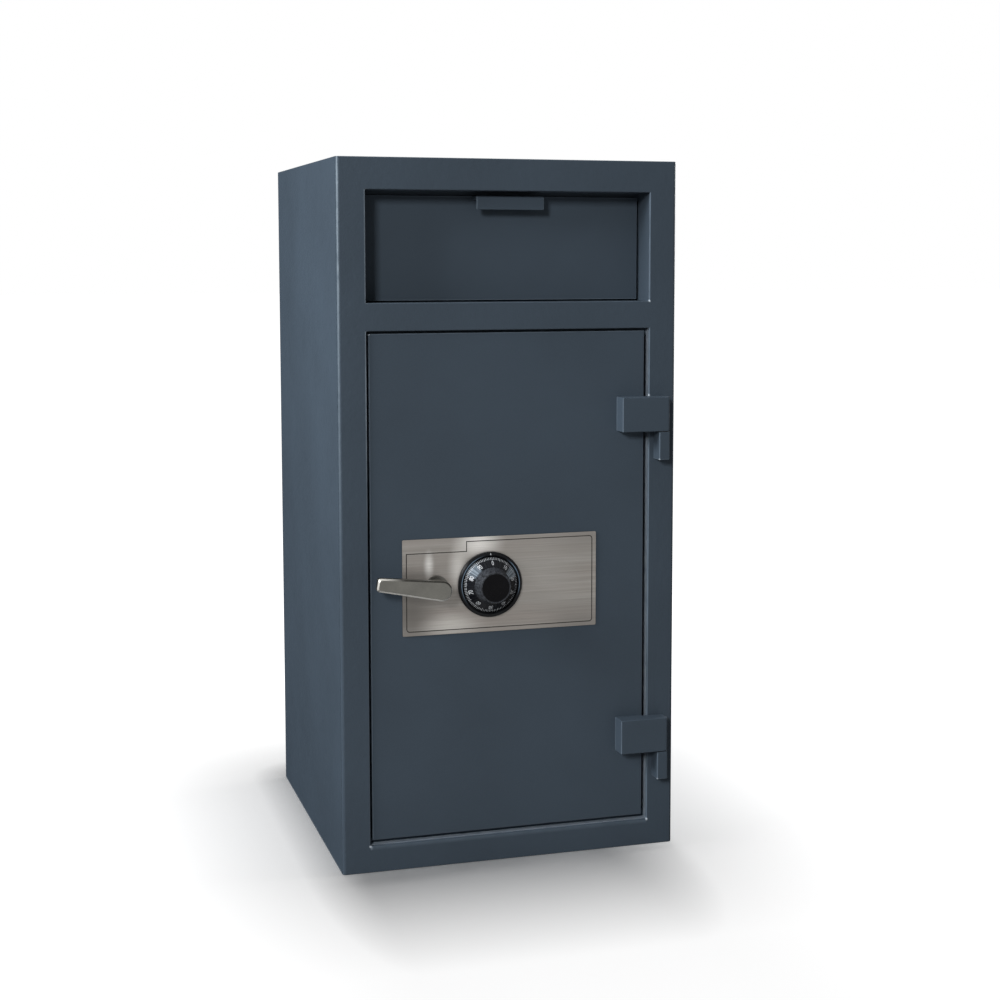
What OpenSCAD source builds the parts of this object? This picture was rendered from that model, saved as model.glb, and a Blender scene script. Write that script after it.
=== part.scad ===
// Deposit safe: a welded steel body with a hinged door below a tilting deposit hopper.
// Millimetres. X runs to the right, Y to the back and Z up, as seen from the front.
// The origin is on the floor, under the middle of the body.
// The door is shut and its bolts are drawn back; the combination lock is open.

/* [Body] */
// Width over the side walls
body_w = 508; // [500:1:640]
// Depth from the front frame to the back
body_d = 508; // [440:1:700]
// Height of the body
body_h = 1029; // [1000:1:1200]
// Thickness of the side, top, base and back walls
wall_t = 5; // [3:0.5:8]
// Thickness of the front frame
frame_t = 6; // [5:0.5:8]
// Radius of the front vertical corners
corner_r = 4.7; // [2:0.1:4.9]
// Width of the frame at each side
side_rail = 41; // [36:0.5:50]
// Height of the frame above the deposit recess
top_rail = 45.5; // [30:0.5:60]
// Height of the frame between recess and door
mid_rail = 39.7; // [30:0.1:60]
// Height of the frame below the door
bottom_rail = 40; // [30:0.5:60]
// Diameter of the anchor holes in the base
anchor_d = 14; // [10:0.5:20]
// Distance between anchor holes from left to right
anchor_pitch_x = 300; // [200:5:360]
// Distance between anchor holes from front to back
anchor_pitch_y = 300; // [200:5:360]

/* [Doorway] */
// Thickness of the jamb plates behind the frame
jamb_t = 5; // [4:0.5:8]
// Depth of the jamb plates
jamb_len = 18; // [14:0.5:19]
// Height of the stop strips behind the door's ends
stop_h = 12; // [9:0.5:14]

/* [Deposit recess] */
// Height of the recess opening
recess_h = 159; // [150:1:180]
// Depth from the frame's face to the hopper door
recess_depth = 46; // [44:1:60]
// Thickness of the recess plates
recess_t = 5; // [4:0.5:6]
// Depth of the plates at the recess sides
recess_side_d = 168; // [160:1:200]

/* [Hopper] */
// Thickness of the hopper door
hopper_door_t = 5; // [4:0.5:6]
// Gap beside the hopper door
hopper_side_gap = 3.3; // [3:0.1:5]
// Gap above the hopper door
hopper_top_gap = 6.5; // [6:0.1:9]
// Gap below the hopper door
hopper_bottom_gap = 2; // [1.5:0.1:4]
// Height of the pivot above the door's lower edge
pivot_rise = 11.5; // [10:0.5:12.5]
// Distance of the pivot behind the door's back face
pivot_back = 7; // [6:0.5:8]
// Diameter of the pivot rod
rod_d = 8; // [6:0.5:9]
// Angle that the hopper tilts forward
tilt_angle = 42; // [30:1:45]
// Slope of the tray below level when shut
tray_slope = 30; // [25:1:35]
// Length of the tray behind the pivot
tray_len = 105; // [90:1:106]
// Thickness of tray and cheeks
hopper_sheet = 3; // [2:0.5:4]
// Width of the pull lip
lip_w = 101.6; // [80:0.2:140]
// Distance of the lip's middle from the body's middle
lip_x = 5; // [-20:1:20]
// Height of the lip's front
lip_h = 19.3; // [15:0.1:26]
// Reach of the lip in front of the hopper door
lip_reach = 26; // [20:0.5:30]
// Thickness of the lip
lip_t = 5; // [4:0.5:6]
// Number of teeth on the fishing baffle
tooth_count = 20; // [12:1:30]
// Depth of the teeth
tooth_h = 12; // [8:1:16]
// Length of the fishing baffle without its teeth
baffle_len = 98; // [90:1:102]

/* [Door] */
// Thickness of the door plate
door_t = 12.7; // [10:0.1:14]
// Distance of the door's face behind the frame's face
door_setback = 3; // [2:0.5:5]
// Gap at the handle side
latch_gap = 3.6; // [3:0.1:5]
// Gap at the hinge side
hinge_gap = 7; // [6:0.5:9]
// Gap above the door
top_gap = 3.7; // [3:0.1:6]
// Gap below the door
bottom_gap = 7; // [4:0.5:8]

/* [Hinges] */
// Length of a hinge block across the door
block_w = 74; // [60:1:90]
// Height of a hinge block
block_h = 51; // [45:1:60]
// Width of a knuckle on the frame
knuckle_w = 16.5; // [16:0.1:18]
// Height of a knuckle
knuckle_h = 41.5; // [38:0.5:50]
// Reach of knuckles and blocks in front of the frame
knuckle_proud = 25; // [25:0.5:26]
// Distance of the pin's axis in front of the frame
pin_stand = 13; // [13:0.1:13.5]
// Diameter of the hinge pin
hinge_pin_d = 9.5; // [8:0.1:11]
// Distance from the body's side to the knuckles
hinge_inset = 17; // [15:0.5:18]
// Height of the lower block above the door's lower edge
low_block_rise = 103; // [80:1:140]
// Distance of the upper block below the door's top edge
high_block_drop = 97.1; // [80:0.1:140]

/* [Escutcheon] */
// Width of the plate
plate_w = 294; // [270:1:320]
// Height of the plate
plate_h = 140.5; // [120:0.5:160]
// Thickness of the plate
plate_t = 1.5; // [1:0.1:3]
// Distance of the plate's middle from the dial's axis
plate_offset = 16.8; // [0:0.1:30]
// Distance of the border line from the plate's edge
border_inset = 5.5; // [4:0.5:8]

/* [Dial] */
// Height of the dial's axis above the door's lower edge
dial_rise = 367.5; // [330:0.5:400]
// Diameter over the dial ring
ring_d = 96; // [90:0.5:105]
// Diameter of the numbered dial
dial_d = 82; // [78:0.5:83]
// Diameter at the foot of the knob
knob_d = 54; // [48:0.5:58]
// Diameter of the knob's face
knob_face_d = 45; // [38:0.5:47]
// Distance of the knob's face from the ring's foot
knob_reach = 34; // [30:0.5:40]
// Number of grip flutes round the knob
flute_count = 40; // [24:1:60]
// Diameter of the dial spindle
dial_spindle_d = 8; // [6:0.5:9]

/* [Handle] */
// Distance of the handle's axis from the door's free edge
handle_edge = 96.4; // [92:0.1:110]
// Distance from the handle's axis to the dial's axis
handle_gap = 80; // [80:1:90]
// Length of the lever from its axis
lever_len = 95; // [80:1:110]
// Diameter of the lever's round end
lever_hub_d = 29; // [24:0.5:33]
// Height of the lever at its tip
lever_tip_h = 19.3; // [14:0.1:22]
// Thickness of the lever
lever_t = 11; // [8:0.5:13]
// Distance of the lever's face from the escutcheon
lever_reach = 37.5; // [34:0.5:42]
// Angle of the lever above level
lever_lift = 8.5; // [0:0.5:15]
// Angle that the handle turns
handle_angle = 75; // [60:1:80]
// Diameter of the handle spindle
handle_spindle_d = 14; // [12:0.5:15]
// Diameter of the bushing's flange
rose_d = 34; // [30:0.5:38]

/* [Boltwork] */
// Diameter of the locking bolts
bolt_d = 25; // [20:0.5:26]
// Distance of the outer bolts from the door's ends
bolt_end_gap = 93; // [60:1:120]
// Distance of the crank pin from the handle's axis
crank_r = 20.5; // [18:0.5:20.5]
// Thickness of the bolt guide
guide_t = 8; // [6:0.5:10]
// Thickness of the carrier's upright bar
bar_t = 10; // [8:0.5:12]
// Thickness of the carrier's web
web_t = 6; // [5:0.5:6]
// Width of the inner cover
cover_w = 264; // [230:1:290]
// Thickness of the cover's sheet
cover_t = 2; // [1.5:0.1:2.5]
// Length of the dead bar
dead_bar_len = 590; // [400:5:640]

/* [Lock] */
// Thickness of the drill-resistant plate
hard_t = 4; // [3:0.5:4]
// Width of the lock case
case_w = 84; // [82:0.5:86]
// Height of the lock case
case_h = 62; // [60:0.5:70]
// Depth of the lock case
case_d = 30; // [30:0.5:31]
// Diameter of the code wheels
wheel_d = 44; // [40:0.5:44]
// Thickness of a code wheel
wheel_t = 2.6; // [2:0.1:3]
// Distance between neighbouring wheels
wheel_gap = 1.5; // [1.2:0.1:1.8]
// Width of the gate in each wheel
gate_w = 5; // [4:0.5:7]
// Diameter of the drive cam
drive_cam_d = 37; // [34:0.5:37]
// Travel of the lock's own bolt
lock_throw = 10; // [8:0.5:10]
// Height of the lock's own bolt
lock_bolt_h = 16; // [14:0.5:17]

/* [Fits] */
// Radial clearance of a running shaft
run_fit = 0.05; // [0.02:0.01:0.1]
// Clearance between parts that slide
slide_fit = 0.3; // [0.2:0.05:0.5]
// Clearance of the crank pin in its slot
crank_fit = 0.5; // [0.4:0.05:0.8]
// Clearance between a moving part and its thrust face
thrust_gap = 0.1; // [0.05:0.05:0.3]

/* [Hidden] */
$fn = 64;
steel_blue = [0.24, 0.28, 0.32];
bare_steel = [0.55, 0.55, 0.54];
satin_steel = [0.50, 0.49, 0.47];
black = [0.10, 0.11, 0.12];
brass = [0.72, 0.60, 0.35];
cut = 1;

// Openings of the front frame
front_y = -body_d / 2;
back_y = body_d / 2;
frame_back_y = front_y + frame_t;
side_x = body_w / 2;
open_x = side_x - side_rail;
recess_top = body_h - top_rail;
recess_bottom = recess_top - recess_h;
doorway_top = recess_bottom - mid_rail;
doorway_bottom = bottom_rail;
jamb_back_y = frame_back_y + jamb_len;

// Door plate
door_y0 = front_y + door_setback;
door_y1 = door_y0 + door_t;
door_x0 = -open_x + latch_gap;
door_x1 = open_x - hinge_gap;
door_z0 = doorway_bottom + bottom_gap;
door_z1 = doorway_top - top_gap;

// Hinges
pin_x = side_x - hinge_inset - knuckle_w / 2;
pin_y = front_y - pin_stand;
block_front_y = front_y - knuckle_proud;
block_x1 = pin_x + knuckle_w / 2;
block_x0 = block_x1 - block_w;
block_relief = 1.2;
block_swing_r = pin_stand - 0.8;
block_corner_r = 3;
washer_space = 1;
washer_r = 10;
pin_in_knuckle = 35;
pin_in_block = 38;
hinge_heights = [door_z0 + low_block_rise, door_z1 - high_block_drop - block_h];

// Dial, handle and escutcheon
axis_z = door_z0 + dial_rise;
handle_x = door_x0 + handle_edge;
dial_x = handle_x + handle_gap;
plate_x0 = dial_x + plate_offset - plate_w / 2;
plate_x1 = plate_x0 + plate_w;
plate_z0 = axis_z - plate_h / 2;
plate_z1 = axis_z + plate_h / 2;
plate_y = door_y0 - plate_t;
plate_corner_r = 2;
label_w = 95;
label_h = 20;
border_r = 5;
groove_w = 1.3;
groove_depth = 0.4;
rose_t = 3.5;
set_screw_h = 12;
set_screw_r = 2.5;
spindle_cover = 6;
ring_base_t = 2;
ring_wall = 6;
ring_h = 7;
dial_back_h = ring_base_t + 0.6;
dial_rim_h = 4.5;
knob_foot_h = 15.5;
knob_bore = 14;
flute_depth = 0.5;
cap_t = 1.5;
cap_rim = 2;
tube_r = 6.35;

// Boltwork, from the door's back towards the inside
lock_cover_t = 3;
lock_screw_head_t = 2.2;
inner_clear = 1.1;
guide_y1 = door_y1 + hard_t + case_d + lock_cover_t + lock_screw_head_t + inner_clear;
bolt_clear = 2.5;
bolt_y = jamb_back_y + bolt_clear + bolt_d / 2;
bolt_throw = 2 * crank_r * sin(handle_angle / 2);
guide_inset = 5.4;
guide_x0 = door_x0 + guide_inset;
guide_x1 = guide_x0 + guide_t;
bolt_tip_x = guide_x0 - 1;
bar_x0 = guide_x1 + bolt_throw + 2;
bar_x1 = bar_x0 + bar_t;
bolt_screw_r = 4;
bolt_screw_len = 26;
screw_head_r = 6.5;
screw_head_t = 6;
bolt_heights = [door_z0 + bolt_end_gap, axis_z, door_z1 - bolt_end_gap];
bar_overrun = 22;
nut_t = 5;
nut_r = 17;
bushing_r = 10;
cam_y0 = door_y1 + nut_t + 4.8;
cam_t = 9;
cam_y1 = cam_y0 + cam_t;
cam_r = 23.5;
cam_boss_r = 12;
crank_pin_r = 4;
crank_lobe_r = 6.5;
web_y0 = cam_y1 + 3.5;
web_y1 = web_y0 + web_t;
web_x1 = handle_x + 21;
web_up = 32;
web_down = 46;
crank_x = handle_x + crank_r * sin(handle_angle / 2);
crank_high = axis_z - crank_r * cos(handle_angle / 2);
crank_low = axis_z - crank_r;
crank_slot_spare = 1;
web_slot_half = 8;
stud_x = handle_x - 27;
stud_r = 5;
stud_head_r = 8;
stud_head_t = 3;
stud_heights = [axis_z + 20, axis_z - 34];
cam_screw_r = 3;
cam_screw_head_r = 6.5;
cam_screw_head_t = 3;
cam_screw_bite = 14;
cam_washer_r = 8.5;
cam_washer_t = 1.2;
cover_y1 = guide_y1 + cover_t;
cover_margin = 13;
cover_z0 = door_z0 + cover_margin;
cover_z1 = door_z1 - cover_margin;
cover_x1 = guide_x0 + cover_w;
post_r = 6;
post_inset = 30;
cover_screw_r = 2.5;
cover_screw_head_r = 5;
cover_screw_head_t = 2.5;
cover_screw_bite = 12;
post_x = [handle_x - 7, cover_x1 - post_inset];
post_z = [cover_z0 + post_inset, cover_z1 - post_inset];
post_places = [for (x = post_x, z = post_z) [x, z]];
dead_foot_w = 16;
dead_lip_gap = 4;
dead_lip_t = 12;
dead_lip_grip = 8;

// Combination lock, from the hard plate towards the inside
lock_y0 = door_y1 + hard_t;
case_wall = 4;
case_front_t = 3;
case_right = 31;
case_x1 = dial_x + case_right;
case_x0 = case_x1 - case_w;
case_y1 = lock_y0 + case_d;
lock_cover_y1 = case_y1 + lock_cover_t;
pillar_r = 5.5;
lock_screw_r = 3.2;
lock_screw_head_r = 5;
lock_screw_bite = 8;
lock_corners = [for (x = [case_x0 + pillar_r, case_x1 - pillar_r], s = [-1, 1])
    [x, axis_z + s * (case_h / 2 - pillar_r)]];
hard_margin = 9;
cavity_y0 = lock_y0 + case_front_t;
drive_cam_t = 5.5;
drive_cam_y0 = cavity_y0 + 0.7;
drive_cam_y1 = drive_cam_y0 + drive_cam_t;
lock_bolt_t = 10;
lock_bolt_y0 = cavity_y0 + slide_fit;
lock_bolt_y1 = lock_bolt_y0 + lock_bolt_t;
lock_bolt_len = 28;
tail_len = 16;
lever_y0 = cavity_y0 + 0.8;
lever_thickness = 5.9;
lever_y1 = lever_y0 + lever_thickness;
wheel_pitch = wheel_t + wheel_gap;
wheel_3_y = drive_cam_y1 + 1.5;
wheel_1_y1 = wheel_3_y + 2 * wheel_pitch + wheel_t;
post_bore_r = dial_spindle_d / 2 + 0.5;
wheel_post_r = 7;
wheel_boss_r = 11;
gate_depth = 5;
fence_w = 3;
fence_x = -3.5;
fence_h = 3.6;
lever_gap = 0.5;
gate_angle = asin(-fence_x / (wheel_d / 2));
nose_x = -6;
nose_w = 6;
lever_pivot_x = -33.5;
lever_pivot_z = 2;
lever_boss_r = 4.5;
lever_pin_r = 2.5;

// Deposit recess and hopper
recess_y1 = frame_back_y + recess_side_d;
hopper_y0 = front_y + recess_depth;
hopper_y1 = hopper_y0 + hopper_door_t;
hopper_x = open_x - hopper_side_gap;
hopper_z0 = recess_bottom + hopper_bottom_gap;
hopper_z1 = recess_top - hopper_top_gap;
pivot_y = hopper_y1 + pivot_back;
pivot_z = hopper_z0 + pivot_rise;
sill_y1 = hopper_y0 - 2;
rod_r = rod_d / 2;
clip_t = 1.2;
clip_r = rod_r + 3.5;
cheek_top = hopper_z1 - pivot_z - 9;
cheek_top_w = 19;
tray_lift = rod_r + 2;
baffle_angle = 13;
baffle_t = 3;
baffle_y = hopper_y1 + 88;
stop_strip_w = 6;
stop_strip_h = 11;
stop_bar_w = 6;
stop_bar_h = 8;

// Points on a circle from angle a0 to a1 in n steps
function arc(cx, cy, r, a0, a1, n) =
    [for (i = [0 : n]) [cx + r * cos(a0 + (a1 - a0) * i / n), cy + r * sin(a0 + (a1 - a0) * i / n)]];

// A point of the plane turned about its origin
function turned(p, a) = [p[0] * cos(a) - p[1] * sin(a), p[0] * sin(a) + p[1] * cos(a)];

// A point of the hopper's side view, along and above the tray's slope
function tray_point(u, n) = turned([u, n], -tray_slope);

// Box given by its lowest and highest corner
module block(lo, hi) {
    translate(lo) cube(hi - lo);
}

// A front view outline made solid from depth y0 to y1
module front_slab(y0, y1) {
    translate([0, y1, 0]) rotate([90, 0, 0]) linear_extrude(y1 - y0) children();
}

// A side view outline of depth and height made solid from x0 to x1
module side_slab(x0, x1) {
    translate([x0, 0, 0]) rotate([90, 0, 90]) linear_extrude(x1 - x0) children();
}

// A round bar along Y at a place of the front view
module y_rod(x, z, r, y0, y1) {
    translate([x, y1, z]) rotate([90, 0, 0]) cylinder(h = y1 - y0, r = r);
}

// A round bar along X at a depth and height
module x_rod(y, z, r, x0, x1) {
    translate([x0, y, z]) rotate([0, 90, 0]) cylinder(h = x1 - x0, r = r);
}

// Moves a form drawn about +Z so that it points out of the door's front
module facing_front(x, y, z) {
    translate([x, y, z]) rotate([90, 0, 0]) children();
}

module rectangle(x0, z0, x1, z1) {
    translate([x0, z0]) square([x1 - x0, z1 - z0]);
}

module rounded_rectangle(x0, z0, x1, z1, r) {
    steps = 6;
    polygon(concat(
        arc(x1 - r, z1 - r, r, 0, 90, steps),
        arc(x0 + r, z1 - r, r, 90, 180, steps),
        arc(x0 + r, z0 + r, r, 180, 270, steps),
        arc(x1 - r, z0 + r, r, 270, 360, steps)));
}

module both_sides() {
    children();
    mirror([1, 0, 0]) children();
}

// Body

module front_frame() {
    corner_steps = 8;
    color(steel_blue) difference() {
        linear_extrude(body_h) polygon(concat(
            [[side_x, frame_back_y], [-side_x, frame_back_y]],
            arc(-side_x + corner_r, front_y + corner_r, corner_r, 180, 270, corner_steps),
            arc(side_x - corner_r, front_y + corner_r, corner_r, 270, 360, corner_steps)));
        block([-open_x, front_y - cut, doorway_bottom], [open_x, frame_back_y + cut, doorway_top]);
        block([-open_x, front_y - cut, recess_bottom], [open_x, frame_back_y + cut, recess_top]);
    }
}

module side_panel(x0) {
    color(steel_blue) block([x0, frame_back_y, 0], [x0 + wall_t, back_y, body_h]);
}

module left_side_panel() {
    side_panel(-side_x);
}

module right_side_panel() {
    side_panel(side_x - wall_t);
}

module level_panel(z0) {
    block([wall_t - side_x, frame_back_y, z0], [side_x - wall_t, back_y - wall_t, z0 + wall_t]);
}

module top_panel() {
    color(steel_blue) level_panel(body_h - wall_t);
}

module base_panel() {
    color(steel_blue) difference() {
        level_panel(0);
        for (x = [-anchor_pitch_x / 2, anchor_pitch_x / 2], y = [-anchor_pitch_y / 2, anchor_pitch_y / 2])
            translate([x, y, -cut]) cylinder(h = wall_t + 2 * cut, r = anchor_d / 2);
    }
}

module back_panel() {
    color(steel_blue) block([wall_t - side_x, back_y - wall_t, 0], [side_x - wall_t, back_y, body_h]);
}

module door_jamb() {
    color(steel_blue) front_slab(frame_back_y, jamb_back_y) difference() {
        rectangle(-open_x - jamb_t, doorway_bottom - jamb_t, open_x + jamb_t, doorway_top + jamb_t);
        rectangle(-open_x, doorway_bottom, open_x, doorway_top);
    }
}

module door_stops() {
    color(steel_blue) for (z = [doorway_bottom, doorway_top - stop_h])
        block([-open_x, door_y1 + slide_fit, z], [open_x, jamb_back_y, z + stop_h]);
}

// Deposit recess

module recess_sides() {
    low_z = doorway_top + jamb_t;
    color(steel_blue) both_sides() difference() {
        block([open_x, frame_back_y, low_z], [open_x + recess_t, recess_y1, recess_top]);
        x_rod(pivot_y, pivot_z, rod_r, open_x - cut, open_x + recess_t + cut);
    }
}

module recess_ceiling() {
    color(steel_blue)
        block([-open_x - recess_t, frame_back_y, recess_top],
              [open_x + recess_t, recess_y1, recess_top + recess_t]);
}

module recess_sill() {
    color(steel_blue)
        block([-open_x, frame_back_y, recess_bottom - recess_t], [open_x, sill_y1, recess_bottom]);
}

module fishing_baffle() {
    pitch = 2 * open_x / tooth_count;
    teeth = [for (i = [0 : 2 * tooth_count])
        [open_x - i * pitch / 2, -baffle_len - (i % 2 == 0 ? 0 : tooth_h)]];
    color(steel_blue)
        translate([0, baffle_y, recess_top - baffle_t * sin(baffle_angle)]) rotate([baffle_angle, 0, 0])
        front_slab(0, baffle_t) polygon(concat([[-open_x, 0], [open_x, 0]], teeth));
}

module hopper_stops() {
    // The bar below meets the hopper door's lower edge when the hopper is fully tilted.
    tilted_edge = turned([-pivot_back, -pivot_rise], tilt_angle);
    bar_y = pivot_y + tilted_edge[0] + slide_fit;
    bar_z = pivot_z + tilted_edge[1] + 2;
    color(steel_blue) {
        block([-open_x, hopper_y1 + slide_fit, recess_top - stop_strip_h],
              [open_x, hopper_y1 + stop_strip_w, recess_top]);
        block([-open_x, bar_y, bar_z - stop_bar_h], [open_x, bar_y + stop_bar_w, bar_z]);
    }
}

module hopper_pivot_rod() {
    end_x = open_x + recess_t + clip_t + 2;
    color(bare_steel) x_rod(pivot_y, pivot_z, rod_r, -end_x, end_x);
}

module rod_ring(x0, x1, r) {
    difference() {
        x_rod(pivot_y, pivot_z, r, x0, x1);
        x_rod(pivot_y, pivot_z, rod_r, x0 - cut, x1 + cut);
    }
}

module hopper_spacers() {
    color(bare_steel) both_sides() rod_ring(hopper_x + slide_fit, open_x, rod_r + 4);
}

module rod_clips() {
    color(bare_steel) both_sides() rod_ring(open_x + recess_t, open_x + recess_t + clip_t, clip_r);
}

// Hinges

module hinge_knuckles() {
    r = 1.5;
    steps = 4;
    color(steel_blue) for (z = hinge_heights) difference() {
        translate([0, 0, z - washer_space - knuckle_h]) linear_extrude(knuckle_h) polygon(concat(
            [[block_x1, front_y], [block_x1 - knuckle_w, front_y]],
            arc(block_x1 - knuckle_w + r, block_front_y + r, r, 180, 270, steps),
            arc(block_x1 - r, block_front_y + r, r, 270, 360, steps)));
        translate([pin_x, pin_y, z - washer_space - pin_in_knuckle])
            cylinder(h = pin_in_knuckle + cut, r = hinge_pin_d / 2);
    }
}

module hinge_pins() {
    color(bare_steel) for (z = hinge_heights)
        translate([pin_x, pin_y, z - washer_space - pin_in_knuckle])
        cylinder(h = pin_in_knuckle + washer_space + pin_in_block, r = hinge_pin_d / 2);
}

module hinge_washers() {
    color(bare_steel) for (z = hinge_heights) translate([pin_x, pin_y, z - washer_space]) difference() {
        cylinder(h = washer_space - thrust_gap, r = washer_r);
        translate([0, 0, -cut]) cylinder(h = washer_space + 2 * cut, r = hinge_pin_d / 2 + run_fit);
    }
}

module hinge_blocks() {
    half_w = knuckle_w / 2;
    relief = pin_stand - block_relief;
    swing_from = acos(half_w / block_swing_r);
    swing_to = asin(relief / block_swing_r);
    steps = 6;
    bore = hinge_pin_d / 2 + run_fit;
    color(steel_blue) for (z = hinge_heights) difference() {
        translate([0, 0, z]) linear_extrude(block_h) polygon(concat(
            arc(pin_x, pin_y, block_swing_r, swing_from, swing_to, steps),
            [[door_x1 - 1, pin_y + relief], [door_x1 - 1, door_y0], [block_x0, door_y0]],
            arc(block_x0 + block_relief, block_front_y + block_relief, block_relief, 180, 270, steps),
            arc(block_x1 - block_corner_r, block_front_y + block_corner_r, block_corner_r, 270, 360, steps)));
        translate([pin_x, pin_y, z - cut]) cylinder(h = pin_in_block + slide_fit + cut, r = bore);
    }
}

// Door

module door_plate() {
    color(steel_blue) difference() {
        block([door_x0, door_y0, door_z0], [door_x1, door_y1, door_z1]);
        y_rod(dial_x, axis_z, tube_r, door_y0 - cut, door_y1 + cut);
        y_rod(handle_x, axis_z, bushing_r, door_y0 - cut, door_y1 + cut);
        lock_screw_shanks();
    }
}

module dead_bar() {
    foot_x0 = door_x1 - dead_foot_w;
    lip_x1 = open_x + dead_lip_grip;
    lip_y = jamb_back_y + dead_lip_gap;
    low_z = (door_z0 + door_z1 - dead_bar_len) / 2;
    color(bare_steel) translate([0, 0, low_z]) linear_extrude(dead_bar_len) polygon([
        [foot_x0, door_y1], [door_x1, door_y1], [door_x1, lip_y], [lip_x1, lip_y],
        [lip_x1, lip_y + dead_lip_t], [foot_x0, lip_y + dead_lip_t]]);
}

module hard_plate() {
    color(bare_steel) difference() {
        block([case_x0 + 2, door_y1, axis_z - case_h / 2 - hard_margin],
              [case_x1 + hard_margin, lock_y0, axis_z + case_h / 2 + hard_margin]);
        y_rod(dial_x, axis_z, tube_r, door_y1 - cut, lock_y0 + cut);
        lock_screw_shanks();
    }
}

// Outline of the escutcheon's border, drawn in by the given amount; it steps round a blank label box.
module border_outline(inset) {
    edge = border_inset + inset;
    x0 = plate_x0 + edge;
    x1 = plate_x1 - edge;
    z0 = plate_z0 + edge;
    z1 = plate_z1 - edge;
    r = border_r - inset;
    step_x = plate_x0 + label_w + inset;
    step_z = plate_z1 - label_h - inset;
    steps = 5;
    polygon(concat(
        arc(x0 + r, z0 + r, r, 180, 270, steps),
        arc(x1 - r, z0 + r, r, 270, 360, steps),
        arc(x1 - r, z1 - r, r, 0, 90, steps),
        [[step_x, z1], [step_x, step_z], [x0, step_z]]));
}

module escutcheon_plate() {
    color(satin_steel) difference() {
        front_slab(plate_y, door_y0)
            rounded_rectangle(plate_x0, plate_z0, plate_x1, plate_z1, plate_corner_r);
        front_slab(plate_y - cut, plate_y + groove_depth) difference() {
            border_outline(0);
            border_outline(groove_w);
        }
        y_rod(dial_x, axis_z, tube_r, plate_y - cut, door_y0 + cut);
        y_rod(handle_x, axis_z, bushing_r, plate_y - cut, door_y0 + cut);
    }
}

module dial_ring() {
    r1 = ring_d / 2;
    r0 = r1 - ring_wall;
    edge = 1.5;
    color(black) facing_front(dial_x, plate_y, axis_z) rotate_extrude() polygon([
        [tube_r, 0], [r1, 0], [r1, ring_h - edge - 1], [r1 - edge, ring_h - 1],
        [r0 + edge, ring_h], [r0, ring_h - 1], [r0, ring_base_t], [tube_r, ring_base_t]]);
}

module spindle_tube() {
    y0 = plate_y - ring_base_t;
    color(brass) difference() {
        y_rod(dial_x, axis_z, tube_r, y0, cavity_y0);
        y_rod(dial_x, axis_z, dial_spindle_d / 2 + run_fit, y0 - cut, cavity_y0 + cut);
    }
}

module handle_bushing() {
    end_y = door_y1 + nut_t;
    color(satin_steel) difference() {
        union() {
            y_rod(handle_x, axis_z, rose_d / 2, plate_y - rose_t, plate_y);
            y_rod(handle_x, axis_z, bushing_r, plate_y - cut, end_y);
        }
        y_rod(handle_x, axis_z, handle_spindle_d / 2 + run_fit, plate_y - rose_t - cut, end_y + cut);
    }
}

module bushing_nut() {
    color(bare_steel) difference() {
        facing_front(handle_x, door_y1 + nut_t, axis_z) cylinder(h = nut_t, r = nut_r, $fn = 6);
        y_rod(handle_x, axis_z, bushing_r, door_y1 - cut, door_y1 + nut_t + cut);
    }
}

// Combination lock

module lock_screw_shanks() {
    for (p = lock_corners) y_rod(p[0], p[1], lock_screw_r, door_y1 - lock_screw_bite, lock_cover_y1 + cut);
}

module lock_case() {
    low_z = axis_z - case_h / 2;
    high_z = axis_z + case_h / 2;
    color(satin_steel) difference() {
        block([case_x0, lock_y0, low_z], [case_x1, case_y1, high_z]);
        difference() {
            block([case_x0 + case_wall, cavity_y0, low_z + case_wall],
                  [case_x1 - case_wall, case_y1 + cut, high_z - case_wall]);
            for (p = lock_corners) y_rod(p[0], p[1], pillar_r, cavity_y0 - cut, case_y1 + cut);
        }
        block([case_x0 - cut, cavity_y0, axis_z - lock_bolt_h / 2 - slide_fit],
              [case_x0 + case_wall + cut, lock_bolt_y1 + slide_fit, axis_z + lock_bolt_h / 2 + slide_fit]);
        y_rod(dial_x, axis_z, tube_r, lock_y0 - cut, cavity_y0 + cut);
        lock_screw_shanks();
    }
}

module lock_cover() {
    color(satin_steel) difference() {
        block([case_x0, case_y1, axis_z - case_h / 2], [case_x1, lock_cover_y1, axis_z + case_h / 2]);
        lock_screw_shanks();
    }
}

module lock_screws() {
    color(bare_steel) for (p = lock_corners) {
        y_rod(p[0], p[1], lock_screw_r, door_y1 - lock_screw_bite, lock_cover_y1);
        y_rod(p[0], p[1], lock_screw_head_r, lock_cover_y1, lock_cover_y1 + lock_screw_head_t);
    }
}

module wheel_post() {
    color(brass) difference() {
        union() {
            y_rod(dial_x, axis_z, wheel_post_r, wheel_3_y - 0.5, case_y1);
            y_rod(dial_x, axis_z, wheel_boss_r, wheel_1_y1 + thrust_gap, case_y1);
        }
        y_rod(dial_x, axis_z, post_bore_r, wheel_3_y - cut, case_y1 - cut);
    }
}

module wheel_spacers() {
    color(brass) for (i = [1, 2]) difference() {
        y_rod(dial_x, axis_z, wheel_boss_r, wheel_3_y + i * wheel_pitch - wheel_gap + thrust_gap,
              wheel_3_y + i * wheel_pitch - thrust_gap);
        y_rod(dial_x, axis_z, wheel_post_r, wheel_3_y, case_y1);
    }
}

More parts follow.
